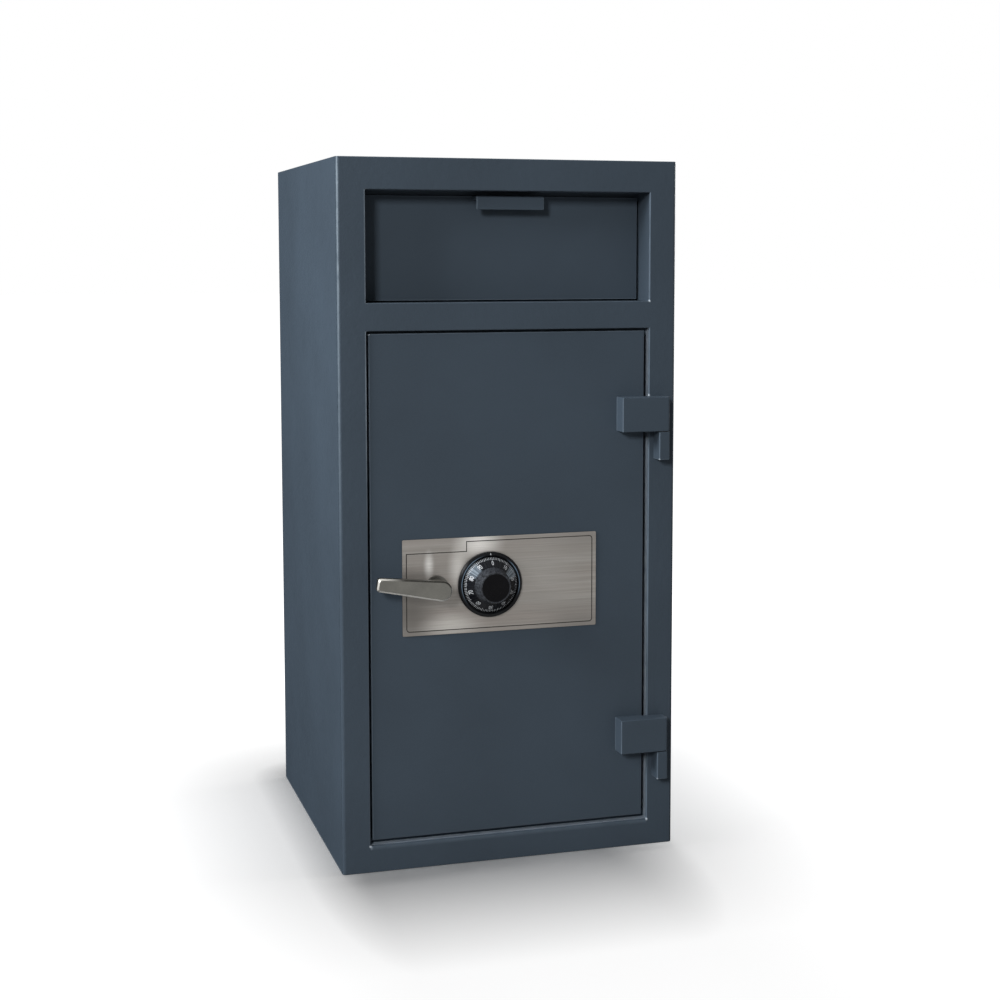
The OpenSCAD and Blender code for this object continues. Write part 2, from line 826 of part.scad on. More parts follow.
// A code wheel with its gate and the change holes round its hub
module code_wheel(y0) {
    hole_ring_r = wheel_d / 2 - 8;
    hole_r = 1.2;
    holes = 12;
    translate([dial_x, y0 + wheel_t, axis_z]) rotate([90, 0, 0]) difference() {
        cylinder(h = wheel_t, r = wheel_d / 2);
        translate([0, 0, -cut]) cylinder(h = wheel_t + 2 * cut, r = wheel_post_r + run_fit);
        rotate(gate_angle) translate([-gate_w / 2, wheel_d / 2 - gate_depth, -cut])
            cube([gate_w, gate_depth + cut, wheel_t + 2 * cut]);
        for (i = [1 : holes - 1]) rotate(gate_angle + 90 + i * 360 / holes)
            translate([hole_ring_r, 0, -cut]) cylinder(h = wheel_t + 2 * cut, r = hole_r, $fn = 16);
    }
}

module wheel_3() {
    color(brass) code_wheel(wheel_3_y);
}

module wheel_2() {
    color(brass) code_wheel(wheel_3_y + wheel_pitch);
}

module wheel_1() {
    color(brass) code_wheel(wheel_3_y + 2 * wheel_pitch);
}

module drive_cam() {
    notch_w = nose_w + 1;
    notch_depth = 4.5;
    color(brass) translate([dial_x, drive_cam_y1, axis_z]) rotate([90, 0, 0]) difference() {
        cylinder(h = drive_cam_t, r = drive_cam_d / 2);
        translate([0, 0, -cut]) cylinder(h = drive_cam_t + 2 * cut, r = dial_spindle_d / 2);
        rotate(asin(-nose_x / (drive_cam_d / 2)))
            translate([-notch_w / 2, drive_cam_d / 2 - notch_depth, -cut])
            cube([notch_w, notch_depth + cut, drive_cam_t + 2 * cut]);
    }
}

module lock_bolt() {
    tail_x0 = case_x0 + lock_bolt_len - tail_len;
    tail_y0 = lever_y1 + slide_fit;
    low_z = axis_z - lock_bolt_h / 2;
    color(brass) difference() {
        block([case_x0, lock_bolt_y0, low_z], [case_x0 + lock_bolt_len, lock_bolt_y1, low_z + lock_bolt_h]);
        block([tail_x0, lock_bolt_y0 - cut, low_z - cut],
              [case_x0 + lock_bolt_len + cut, tail_y0, low_z + lock_bolt_h + cut]);
        y_rod(dial_x + lever_pivot_x, axis_z + lever_pivot_z, lever_pin_r, tail_y0 - cut, lock_bolt_y1 + cut);
    }
}

// The lever hangs on the bolt's tail; its nose rides on the drive cam and its fence on the wheels.
module lock_lever() {
    nose_z = drive_cam_d / 2 + lever_gap;
    fence_z = wheel_d / 2 + lever_gap;
    top_z = fence_z + fence_h;
    end_x = fence_x + fence_w / 2;
    nose_x1 = nose_x + nose_w / 2;
    nose_x0 = nose_x - nose_w / 2;
    arm_w = 6;
    boss_x1 = lever_pivot_x + lever_boss_r;
    color(bare_steel) translate([dial_x, 0, axis_z]) {
        front_slab(lever_y0, lever_y1) union() {
            polygon([
                [lever_pivot_x - lever_boss_r, lever_pivot_z], [boss_x1 - arm_w, top_z - arm_w],
                [boss_x1, top_z], [end_x, top_z], [end_x, fence_z], [nose_x1, fence_z], [nose_x1, nose_z],
                [nose_x0, nose_z], [nose_x0 - 1, fence_z], [boss_x1 + arm_w, fence_z],
                [boss_x1, lever_pivot_z]]);
            translate([lever_pivot_x, lever_pivot_z]) circle(r = lever_boss_r);
        }
        front_slab(lever_y1 - cut, wheel_1_y1 + 0.5) rectangle(end_x - fence_w, fence_z, end_x, top_z);
        y_rod(lever_pivot_x, lever_pivot_z, lever_pin_r, lever_y1 - cut, lock_bolt_y1);
    }
}

// Boltwork

module bolt_guide() {
    color(steel_blue) difference() {
        block([guide_x0, door_y1, cover_z0], [guide_x1, guide_y1, cover_z1]);
        for (z = bolt_heights) x_rod(bolt_y, z, bolt_d / 2 + run_fit, guide_x0 - cut, guide_x1 + cut);
    }
}

module guide_studs() {
    color(bare_steel) for (z = stud_heights) {
        y_rod(stud_x, z, stud_r, door_y1, web_y1 + slide_fit + stud_head_t);
        y_rod(stud_x, z, stud_head_r, web_y1 + slide_fit, web_y1 + slide_fit + stud_head_t);
    }
}

// A slot of the carrier's web that a fixed round part runs in
module travel_slot(x, z, r) {
    slot_r = r + slide_fit;
    front_slab(web_y0 - cut, web_y1 + cut)
        rounded_rectangle(x - slot_r, z - slot_r, x + bolt_throw + slot_r, z + slot_r, r);
}

module bolt_carrier() {
    slot_r = crank_pin_r + crank_fit;
    color(bare_steel) difference() {
        union() {
            block([bar_x0, bolt_y - bolt_d / 2, bolt_heights[0] - bar_overrun],
                  [bar_x1, bolt_y + bolt_d / 2, bolt_heights[2] + bar_overrun]);
            block([bar_x0, web_y0, axis_z - web_down], [web_x1, web_y1, axis_z + web_up]);
        }
        for (z = stud_heights) travel_slot(stud_x, z, stud_r);
        front_slab(web_y0 - cut, web_y1 + cut)
            rectangle(handle_x - cam_screw_head_r - 1, axis_z - web_slot_half,
                      web_x1 + cut, axis_z + web_slot_half);
        front_slab(web_y0 - cut, web_y1 + cut)
            rectangle(bar_x1, axis_z - web_slot_half, bar_x1 + screw_head_t + 2, axis_z + web_slot_half);
        front_slab(web_y0 - cut, web_y1 + cut)
            rectangle(crank_x - slot_r, crank_low - slot_r - crank_slot_spare,
                      crank_x + slot_r, crank_high + slot_r + crank_slot_spare);
        for (z = bolt_heights) x_rod(bolt_y, z, bolt_screw_r, bar_x0 - cut, bar_x1 + cut);
    }
}

module locking_bolts() {
    chamfer = 1.5;
    length = bar_x0 - bolt_tip_x;
    color(bare_steel) for (z = bolt_heights) difference() {
        translate([bolt_tip_x, bolt_y, z]) rotate([0, 90, 0]) rotate_extrude() polygon([
            [0, 0], [bolt_d / 2 - chamfer, 0], [bolt_d / 2, chamfer], [bolt_d / 2, length], [0, length]]);
        x_rod(bolt_y, z, bolt_screw_r, bar_x1 - bolt_screw_len, bar_x0 + cut);
    }
}

module bolt_screws() {
    color(black) for (z = bolt_heights) {
        x_rod(bolt_y, z, bolt_screw_r, bar_x1 - bolt_screw_len, bar_x1);
        x_rod(bolt_y, z, screw_head_r, bar_x1, bar_x1 + screw_head_t);
    }
}

module boltwork_cover() {
    color(steel_blue) difference() {
        block([guide_x0, door_y1, cover_z0], [cover_x1, cover_y1, cover_z1]);
        block([guide_x0 - cut, door_y1 - cut, cover_z0 + cover_t],
              [cover_x1 - cover_t, guide_y1, cover_z1 - cover_t]);
        block([guide_x0 - cut, door_y1 - cut, cover_z0 - cut], [guide_x1, guide_y1, cover_z1 + cut]);
        for (p = post_places) y_rod(p[0], p[1], cover_screw_r, guide_y1 - cut, cover_y1 + cut);
    }
}

module cover_posts() {
    color(bare_steel) for (p = post_places) difference() {
        y_rod(p[0], p[1], post_r, door_y1, guide_y1);
        y_rod(p[0], p[1], cover_screw_r, guide_y1 - cover_screw_bite, guide_y1 + cut);
    }
}

module cover_screws() {
    color(black) for (p = post_places) {
        y_rod(p[0], p[1], cover_screw_r, guide_y1 - cover_screw_bite, cover_y1);
        y_rod(p[0], p[1], cover_screw_head_r, cover_y1, cover_y1 + cover_screw_head_t);
    }
}

// Handle

// Outline of the lever about its axis, pointing along +X and drawn in by the given amount
module lever_outline(inset) {
    hub_r = lever_hub_d / 2;
    slope = asin((hub_r - lever_tip_h / 2) / lever_len);
    tip_r = 4;
    tip_x = lever_len - inset - tip_r;
    tip_z = lever_tip_h / 2 - inset - tip_r;
    polygon(concat(
        arc(0, 0, hub_r - inset, 90 - slope, 270 + slope, 24),
        arc(tip_x, -tip_z, tip_r, -90 + slope, 0, 6),
        arc(tip_x, tip_z, tip_r, 0, 90 - slope, 6)));
}

module handle_lever() {
    chamfer = 2.2;
    back_h = lever_reach - lever_t;
    color(satin_steel) facing_front(handle_x, plate_y, axis_z) difference() {
        union() {
            rotate(180 - lever_lift) hull() {
                translate([0, 0, back_h]) linear_extrude(lever_t - chamfer) lever_outline(0);
                translate([0, 0, back_h]) linear_extrude(lever_t) lever_outline(chamfer);
            }
            translate([0, 0, rose_t + slide_fit]) cylinder(h = lever_reach / 2, r = lever_hub_d / 2 - 1);
            translate([0, 0, rose_t + slide_fit]) cylinder(h = back_h - rose_t + 1, r = lever_hub_d / 2 - 2.5);
        }
        cylinder(h = lever_reach - spindle_cover, r = handle_spindle_d / 2);
        translate([0, 0, set_screw_h]) rotate([90, 0, 0]) cylinder(h = lever_hub_d, r = set_screw_r);
    }
}

module handle_set_screw() {
    length = 5;
    color(black) facing_front(handle_x, plate_y, axis_z)
        translate([0, -handle_spindle_d / 2, set_screw_h]) rotate([90, 0, 0])
        cylinder(h = length, r = set_screw_r);
}

module handle_spindle() {
    front = plate_y - lever_reach + spindle_cover;
    color(bare_steel) difference() {
        y_rod(handle_x, axis_z, handle_spindle_d / 2, front, cam_y1);
        y_rod(handle_x, axis_z, cam_screw_r, cam_y1 - cam_screw_bite, cam_y1 + cut);
    }
}

// The crank and locking disc on the handle spindle: a lobe holds the crank pin, and one of two
// notches faces the lock's bolt at each end of the handle's turn.
module handle_cam() {
    notch_root = handle_gap - (dial_x - case_x0) - lock_throw - 1;
    notch_half = lock_bolt_h / 2 + 0.5;
    color(bare_steel) translate([handle_x, 0, axis_z]) difference() {
        union() {
            y_rod(0, 0, cam_r, cam_y0, cam_y1);
            y_rod(0, 0, cam_boss_r, door_y1 + nut_t + slide_fit, cam_y1);
            y_rod(crank_x - handle_x, crank_high - axis_z, crank_lobe_r, cam_y0, cam_y1);
            y_rod(crank_x - handle_x, crank_high - axis_z, crank_pin_r, cam_y0, web_y1 + 2);
        }
        for (a = [0, -handle_angle]) rotate([0, a, 0])
            block([notch_root, cam_y0 - cut, -notch_half], [cam_r + 5, cam_y1 + cut, notch_half]);
        y_rod(0, 0, handle_spindle_d / 2, door_y1, cam_y1 + cut);
    }
}

module cam_screw() {
    color(black) {
        y_rod(handle_x, axis_z, cam_screw_r, cam_y1 - cam_screw_bite, cam_y1);
        y_rod(handle_x, axis_z, cam_washer_r, cam_y1, cam_y1 + cam_washer_t);
        y_rod(handle_x, axis_z, cam_screw_head_r, cam_y1, cam_y1 + cam_washer_t + cam_screw_head_t);
    }
}

// Dial

module number_dial() {
    r = dial_d / 2;
    hub_r = knob_d / 2;
    color(black) facing_front(dial_x, plate_y, axis_z) rotate_extrude() polygon([
        [dial_spindle_d / 2, dial_back_h], [r, dial_back_h], [r, dial_rim_h - 0.6], [r - 0.6, dial_rim_h],
        [hub_r + 1, knob_foot_h], [dial_spindle_d / 2, knob_foot_h]]);
}

// Outline of the knob's grip with shallow round flutes
module fluted_circle(r, depth, count) {
    steps = 6;
    polygon([for (i = [0 : count * steps - 1])
        let (a = i * 360 / (count * steps), d = depth * (1 - abs(sin(a * count / 2))))
        [(r - d) * cos(a), (r - d) * sin(a)]]);
}

module dial_knob() {
    height = knob_reach - knob_foot_h;
    taper = knob_face_d / knob_d;
    color(black) facing_front(dial_x, plate_y, axis_z) difference() {
        translate([0, 0, knob_foot_h]) linear_extrude(height, scale = taper)
            fluted_circle(knob_d / 2, flute_depth, flute_count);
        translate([0, 0, knob_reach - cap_t]) cylinder(h = cap_t + cut, r = knob_face_d / 2 - cap_rim);
        translate([0, 0, knob_foot_h - cut]) cylinder(h = knob_bore + cut, r = dial_spindle_d / 2);
    }
}

module dial_cap() {
    color(black) facing_front(dial_x, plate_y, axis_z) translate([0, 0, knob_reach - cap_t])
        cylinder(h = cap_t - 0.3, r = knob_face_d / 2 - cap_rim);
}

module dial_spindle() {
    color(bare_steel)
        y_rod(dial_x, axis_z, dial_spindle_d / 2, plate_y - knob_foot_h - knob_bore, drive_cam_y1 + 0.5);
}

// Hopper

module hopper_door() {
    color(steel_blue) block([-hopper_x, hopper_y0, hopper_z0], [hopper_x, hopper_y1, hopper_z1]);
}

module pull_lip() {
    top_z = hopper_z1 - 0.5;
    low_z = top_z - lip_h;
    y0 = hopper_y0 - lip_reach;
    bend_r = 3;
    color(steel_blue) side_slab(lip_x - lip_w / 2, lip_x + lip_w / 2) polygon(concat(
        [[hopper_y0, top_z - lip_t], [hopper_y0, top_z]],
        arc(y0 + bend_r, top_z - bend_r, bend_r, 90, 180, 5),
        [[y0, low_z], [y0 + lip_t, low_z], [y0 + lip_t, top_z - lip_t]]));
}

// Fan-shaped cheek that closes the side of the tilting hopper
module cheek_outline() {
    fan_steps = 12;
    fan_r = norm(tray_point(tray_len, tray_lift));
    polygon(concat(
        [[-pivot_back, -rod_r - 4], [-pivot_back, cheek_top], [cheek_top_w - pivot_back, cheek_top]],
        arc(0, 0, fan_r, 58, asin(tray_lift / fan_r) - tray_slope, fan_steps),
        [[rod_r + 4, -rod_r - 2]]));
}

module hopper_cheeks() {
    inner = hopper_x - hopper_sheet;
    color(steel_blue) both_sides() difference() {
        side_slab(inner, hopper_x) translate([pivot_y, pivot_z]) cheek_outline();
        x_rod(pivot_y, pivot_z, rod_r + run_fit, inner - cut, hopper_x + cut);
    }
}

module hopper_tray() {
    inner = hopper_x - hopper_sheet;
    start_low = -(pivot_back + tray_lift * sin(tray_slope)) / cos(tray_slope);
    start_high = -(pivot_back + (tray_lift + hopper_sheet) * sin(tray_slope)) / cos(tray_slope);
    color(steel_blue) side_slab(-inner, inner) translate([pivot_y, pivot_z]) polygon([
        tray_point(start_low, tray_lift), tray_point(tray_len, tray_lift),
        tray_point(tray_len, tray_lift + hopper_sheet), tray_point(start_high, tray_lift + hopper_sheet)]);
}

front_frame();
left_side_panel();
right_side_panel();
top_panel();
base_panel();
back_panel();
door_jamb();
door_stops();
recess_sides();
recess_ceiling();
recess_sill();
fishing_baffle();
hopper_stops();
hopper_pivot_rod();
hopper_spacers();
rod_clips();
hinge_knuckles();
hinge_pins();
hinge_washers();
door_plate();
hinge_blocks();
dead_bar();
hard_plate();
escutcheon_plate();
dial_ring();
spindle_tube();
lock_case();
lock_cover();
lock_screws();
wheel_post();
wheel_spacers();
bolt_guide();
guide_studs();
cover_posts();
boltwork_cover();
cover_screws();
handle_bushing();
bushing_nut();
bolt_carrier();
locking_bolts();
bolt_screws();
handle_lever();
handle_set_screw();
handle_spindle();
handle_cam();
cam_screw();
number_dial();
dial_knob();
dial_cap();
dial_spindle();
drive_cam();
wheel_1();
wheel_2();
wheel_3();
lock_bolt();
lock_lever();
hopper_door();
pull_lip();
hopper_cheeks();
hopper_tray();
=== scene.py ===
import math

import bmesh
import bpy
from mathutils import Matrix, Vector


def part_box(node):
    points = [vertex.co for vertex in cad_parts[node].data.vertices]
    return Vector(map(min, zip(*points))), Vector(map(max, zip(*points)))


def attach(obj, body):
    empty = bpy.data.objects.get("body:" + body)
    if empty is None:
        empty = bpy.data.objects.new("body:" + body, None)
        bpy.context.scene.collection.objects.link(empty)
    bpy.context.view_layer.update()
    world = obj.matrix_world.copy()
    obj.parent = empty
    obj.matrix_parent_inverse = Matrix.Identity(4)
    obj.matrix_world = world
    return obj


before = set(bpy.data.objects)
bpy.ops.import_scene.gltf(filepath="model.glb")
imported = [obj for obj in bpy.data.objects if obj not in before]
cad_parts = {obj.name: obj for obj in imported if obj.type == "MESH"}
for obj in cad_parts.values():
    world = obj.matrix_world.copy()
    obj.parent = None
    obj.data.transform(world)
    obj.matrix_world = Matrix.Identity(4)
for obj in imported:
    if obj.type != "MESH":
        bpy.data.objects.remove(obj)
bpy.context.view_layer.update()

# Looks of the deposit safe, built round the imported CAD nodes. Metres, Z up, the door faces -Y.
# Tones are colours as they look on a screen, 0 to 255.

MM = 0.001

# Dial, as in the CAD nodes; heights are measured from the escutcheon's face towards the front
DIAL_TURN = math.radians(2.8)
CONE_RIM_R = 40.4 * MM
CONE_RIM_H = 4.5 * MM
CONE_HUB_R = 28 * MM
CONE_HUB_H = 15.5 * MM
RING_INNER_R = 43.5 * MM
RING_INNER_H = 7 * MM
RING_OUTER_R = 46.5 * MM
RING_OUTER_H = 6 * MM

# Marks on the dial: graduations, the tens, and the index on the ring
INK_DEPTH = 0.05 * MM
GRADUATIONS = 100
MARK_OUTER_R = 40 * MM
LONG_MARK_INNER_R = 36.2 * MM
SHORT_MARK_INNER_R = 36.9 * MM
MARK_HALF = {10: 0.4 * MM, 5: 0.34 * MM, 1: 0.3 * MM}
NUMBER_R = 32.3 * MM
NUMBER_H = 5.6 * MM
NUMBER_NARROWING = 0.86
FONT_CAPITAL_H = 0.72
INDEX_HALF = 0.45 * MM
INDEX_INNER_R = 43.7 * MM
INDEX_OUTER_R = 46.3 * MM

# Body and openings, for the shading of their edges
BODY_HALF = 254 * MM
FRONT_Y = -254 * MM
JAMB_SHADE_Y = -249 * MM
OPENING_HALF = 213 * MM
DOORWAY_Z = (40 * MM, 784.8 * MM)
RECESS_Z = (824.5 * MM, 983.5 * MM)

# Paint
PAINT_GLOSS = 0.07
ENAMEL = ((58, 67, 76), (63, 73, 83))
GRAIN_TONE = (74, 86, 97)
# Edges lightened by thin paint and painted highlight
THIN_PAINT_AND_HIGHLIGHT = (88, 99, 110)
# Corners lightened by ground weld and a painted highlight
GROUND_CORNER_HIGHLIGHT = (117, 127, 135)
# Painted light on cut faces, bright and dim
CUT_FACE_PAINTED_LIGHT = (156, 167, 178)
CUT_FACE_PAINTED_LIGHT_DIM = (132, 145, 159)
CORNER_BAND = 3.4 * MM
EDGE_BAND = 1.6 * MM
# Painted glints: tone, reach along each axis and strength
GLINT_TONE = (168, 176, 184)
GLINT_REACH = (2.8 * MM, 5 * MM, 3 * MM)
GLINT_STRENGTH = 1.25

# Escutcheon: how far behind its face its groove turns dark, and its patches of painted highlight
# and painted shade with their place, reach along each axis, tone and share
GROOVE_STEP = 0.2 * MM
PLATE_PAINTED_LIGHT = (
    ((-0.150, -0.2525, 0.380), (0.060, 0.1, 0.070), (72, 69, 65), 0.85),
    ((0.115, -0.2525, 0.350), (0.090, 0.1, 0.050), (104, 101, 97), 0.6),
    ((0.120, -0.2525, 0.480), (0.080, 0.1, 0.040), (110, 107, 103), 0.5),
    ((-0.050, -0.2525, 0.476), (0.046, 0.1, 0.034), (236, 233, 228), 0.9),
    ((-0.090, -0.2525, 0.357), (0.060, 0.1, 0.022), (206, 203, 197), 0.7),
    ((-0.124, -0.2525, 0.446), (0.010, 0.1, 0.028), (232, 230, 226), 0.75),
    ((-0.080, -0.2525, 0.440), (0.020, 0.1, 0.044), (224, 221, 216), 0.7),
    ((0.045, -0.2525, 0.415), (0.075, 0.1, 0.060), (156, 153, 148), 0.5))

# Lever: tones of its bevels, a painted reflection below and painted shade above, and how far round
# the tip a painted highlight reaches
BEVEL_PAINTED_REFLECTION = (190, 188, 182)
BEVEL_PAINTED_SHADE = (56, 55, 52)
TIP_HIGHLIGHT_REACH = (0.045, 0.1, 0.02)

# Painted highlights in sectors of the dial's flange and of the ring's inner edge: middle and half
# angle, degrees
FLANGE_PAINTED_HIGHLIGHTS = ((-50, 20), (62, 16))
RING_GLINTS = ((-70, 62), (75, 45))

# Floor: where the painted shadow's spread starts on each side of the middle, and how fast it ends
# there
FLOOR_REACH = 40.0
PAINTED_SHADOW_SIDES = {"right": (0.14, 3.0), "left": (0.22, 4.2),
                "back": (BODY_HALF, 4.0), "front": (BODY_HALF, 1.0)}

# Lamps: place, aim, size, power and colour
WHITE = (1.0, 1.0, 1.0)
SIDE_LAMPS = {
    "key": ((-2.45, -4.0, 2.3), (0, -0.25, 0.5), 0.8, 127, WHITE),
    "left": ((-2.2, -0.6, 1.7), (-0.1, -0.1, 0.6), 0.8, 77, (0.93, 0.965, 1.0)),
    "back_fill": ((2.1, 1.8, 1.5), (0.1, 0.1, 0.5), 1.4, 82, WHITE)}
OVERHEAD_LAMP = ((0, 0.04, 2.9), (0, 0.04, 0), 0.75, 36, WHITE)
WORLD_LEVEL = 0.12

# Camera at the photo's angle
CAMERA_PLACE = (-0.7209, -2.6859, 0.8890)
CAMERA_YAW = math.radians(17.12)
CAMERA_PITCH = math.radians(-5.46)
CAMERA_LENS = 63.23
CAMERA_SENSOR = 36.0
CAMERA_SHIFT = (-0.03, -0.075)


# Node trees

class Tree:
    """A material's node tree with short calls for the nodes used here."""

    def __init__(self, name):
        self.material = bpy.data.materials.new(name)
        self.material.use_nodes = True
        self.nodes = self.material.node_tree.nodes
        self.links = self.material.node_tree.links
        self.shader = self.nodes["Principled BSDF"]
        self.coords = self.add("ShaderNodeTexCoord").outputs["Object"]

    def set(self, socket, value):
        if isinstance(value, bpy.types.NodeSocket):
            self.links.new(value, socket)
        else:
            socket.default_value = value

    def add(self, kind, inputs=None, **props):
        node = self.nodes.new(kind)
        for key, value in props.items():
            setattr(node, key, value)
        for key, value in (inputs or {}).items():
            self.set(node.inputs[key], value)
        return node

    def math(self, operation, a, b=0.0, c=0.0, clamp=False):
        inputs = {0: a, 1: b, 2: c}
        return self.add("ShaderNodeMath", inputs, operation=operation, use_clamp=clamp).outputs[0]

    def vector(self, operation, a, b=(0.0, 0.0, 0.0)):
        return self.add("ShaderNodeVectorMath", {0: a, 1: b}, operation=operation).outputs

    def fold(self, operation, values):
        """One operation over all the values, from left to right."""
        total = values[0]
        for value in values[1:]:
            total = self.math(operation, total, value)
        return total

    def times(self, *values):
        return self.fold("MULTIPLY", values)

    def plus(self, *values):
        return self.fold("ADD", values)

    def minus(self, *values):
        return self.fold("SUBTRACT", values)

    def most(self, *values):
        return self.fold("MAXIMUM", values)

    def least(self, *values):
        return self.fold("MINIMUM", values)

    def without_sign(self, value):
        return self.math("ABSOLUTE", value)

    def length(self, a, b):
        return self.math("SQRT", self.plus(self.times(a, a), self.times(b, b)))

    def ramp(self, value, low, high, to_low=0.0, to_high=1.0, smooth=False):
        node = self.add("ShaderNodeMapRange", {
            "Value": value, "From Min": low, "From Max": high,
            "To Min": to_low, "To Max": to_high},
            interpolation_type="SMOOTHSTEP" if smooth else "LINEAR")
        return node.outputs[0]

    def fade(self, value, near, far, smooth=False):
        """1 up to the near value, falling to 0 at the far one."""
        return self.ramp(value, near, far, 1.0, 0.0, smooth)

    def stretched(self, x, y, z):
        """Object coordinates scaled by different amounts, for grain that runs one way."""
        return self.vector("MULTIPLY", self.coords, (x, y, z))[0]

    def noise(self, scale, detail=2.0, roughness=0.5, coords=None):
        node = self.add("ShaderNodeTexNoise", {
            "Vector": coords or self.coords, "Scale": scale,
            "Detail": detail, "Roughness": roughness})
        return node.outputs["Fac"]

    def noise_along(self, value, detail):
        node = self.add("ShaderNodeTexNoise", {"W": value, "Detail": detail},
                        noise_dimensions="1D")
        return node.outputs["Fac"]

    def clouds(self, scale, low=0.0, high=1.0):
        """Soft uneven patches with values from low to high."""
        return self.ramp(self.noise(scale, 3.0), 0.3, 0.7, low, high)

    def spot(self, centre, reach):
        """1 at a place, fading softly to 0 at the given reach along each axis."""
        offset = self.vector("SUBTRACT", self.coords, centre)[0]
        share = self.vector("DIVIDE", offset, reach)[0]
        return self.fade(self.vector("LENGTH", share)["Value"], 0.0, 1.0, smooth=True)

    def mix(self, factor, a, b):
        """Colour between a and b."""
        node = self.add("ShaderNodeMix", data_type="RGBA")
        self.set(node.inputs["Factor"], factor)
        self.set(node.inputs[6], a)
        self.set(node.inputs[7], b)
        return node.outputs[2]

    def axes(self):
        return self.add("ShaderNodeSeparateXYZ", {0: self.coords}).outputs

    def facing(self):
        """The surface's direction, split into its share along each axis."""
        normal = self.add("ShaderNodeTexCoord").outputs["Normal"]
        return self.add("ShaderNodeSeparateXYZ", {0: normal}).outputs

    def polar(self, centre):
        """Distance from an axis along Y and the angle clockwise from its top, in radians."""
        x, _, z = self.axes()
        across, up = self.minus(x, centre.x), self.minus(z, centre.z)
        return self.length(across, up), self.math("ARCTAN2", across, up)

    def sectors(self, angle, parts):
        """1 about each of the given directions, fading out at its half angle; both in degrees."""
        masks = []
        for middle, half in parts:
            off = self.without_sign(self.minus(angle, math.radians(middle)))
            masks.append(self.fade(off, 0.4 * math.radians(half), math.radians(half), smooth=True))
        return self.most(*masks)

    def bump(self, height, distance, strength, under=None):
        inputs = {"Height": height, "Distance": distance, "Strength": strength}
        if under is not None:
            inputs["Normal"] = under
        return self.add("ShaderNodeBump", inputs).outputs[0]

    def finish(self, **inputs):
        """Sets the shader's sockets; a name's underscores stand for spaces."""
        for key, value in inputs.items():
            self.set(self.shader.inputs[key.replace("_", " ")], value)
        return self.material


def rgb(r, g, b):
    """A tone as the linear colour that the nodes take."""
    def linear(v):
        v /= 255
        return v / 12.92 if v <= 0.04045 else ((v + 0.055) / 1.055) ** 2.4
    return (linear(r), linear(g), linear(b), 1.0)


# Masks of the painted pieces

def nearest_plane(t, value, planes):
    """Distance of a coordinate to the nearest of the given planes, at most a metre."""
    return t.least(1.0, *(t.without_sign(t.minus(value, plane)) for plane in planes))


def on_plane(t, value, planes):
    """1 on the given planes and 0 off them."""
    return t.fade(nearest_plane(t, value, planes), 0.2 * MM, 0.4 * MM)


def sill_mask(t):
    """1 on the cut face that the door's lower edge closes over."""
    return on_plane(t, t.axes()[2], [DOORWAY_Z[0]])


def edge_mask(t, planes):
    """1 along the edges where two of the given planes meet, fading out over the edge band."""
    gaps = [nearest_plane(t, axis, places) for axis, places in zip(t.axes(), planes)]
    middle_gap = t.minus(t.plus(*gaps), t.least(*gaps), t.most(*gaps))
    return t.fade(middle_gap, 0.35 * EDGE_BAND, EDGE_BAND)


def opening_mask(t):
    """1 along the upright edges of the front frame's two openings and on the doorway's sill,
    weaker along their level edges and on the rolled edge below the sill: where thin paint and
    painted highlights lighten the frame."""
    x, y, z = t.axes()
    across = t.without_sign(x)
    in_width = t.fade(across, OPENING_HALF, OPENING_HALF + 0.3 * MM)
    in_height = []
    for low, high in (DOORWAY_Z, RECESS_Z):
        middle, half = (low + high) / 2, (high - low) / 2
        in_height.append(t.fade(t.without_sign(t.minus(z, middle)), half, half + 0.3 * MM))

    # Painted highlights: the left edges are wider and fainter than the right ones, and faintest
    # low on the doorway
    right = t.ramp(x, 0.0, MM)
    gap = t.times(nearest_plane(t, across, [OPENING_HALF]), t.ramp(x, 0.0, MM, 0.55, 1.0))
    left = t.minus(t.ramp(z, 0.5, 0.66, 0.08, 0.75),
                   t.ramp(z, DOORWAY_Z[1], RECESS_Z[0], 0.0, 0.3))
    upright = t.times(t.fade(gap, 0.4 * MM, 1.3 * MM), t.most(*in_height), t.most(left, right))

    level = t.ramp(nearest_plane(t, z, [DOORWAY_Z[1], *RECESS_Z]), 0.4 * MM, MM, 0.7, 0.0)
    below = t.minus(DOORWAY_Z[0], z)
    rolled = t.times(t.ramp(below, 1.2 * MM, 1.4 * MM), t.ramp(below, 1.4 * MM, 7 * MM, 0.8, 0.0))
    near_face = t.fade(y, FRONT_Y + 0.5 * MM, FRONT_Y + 1.5 * MM)
    level = t.times(t.most(level, rolled), in_width, near_face)

    sill = t.times(sill_mask(t), in_width, t.ramp(y, FRONT_Y + 2 * MM, FRONT_Y + 5 * MM))
    return t.most(upright, level, sill)


def cut_face_painted_light_mask(t):
    """1 where the front frame's edges get painted light instead of thin paint: left of the
    openings, deep in the doorway's cut faces and on the sill behind its front.
    """
    x, y, _ = t.axes()
    left = t.fade(x, 1.5 * MM - OPENING_HALF, 4 * MM - OPENING_HALF)
    jamb = t.ramp(y, JAMB_SHADE_Y - MM, JAMB_SHADE_Y + MM)
    sill = t.times(sill_mask(t), t.ramp(y, FRONT_Y + 1.2 * MM, FRONT_Y + 2 * MM))
    return t.most(left, jamb, sill)


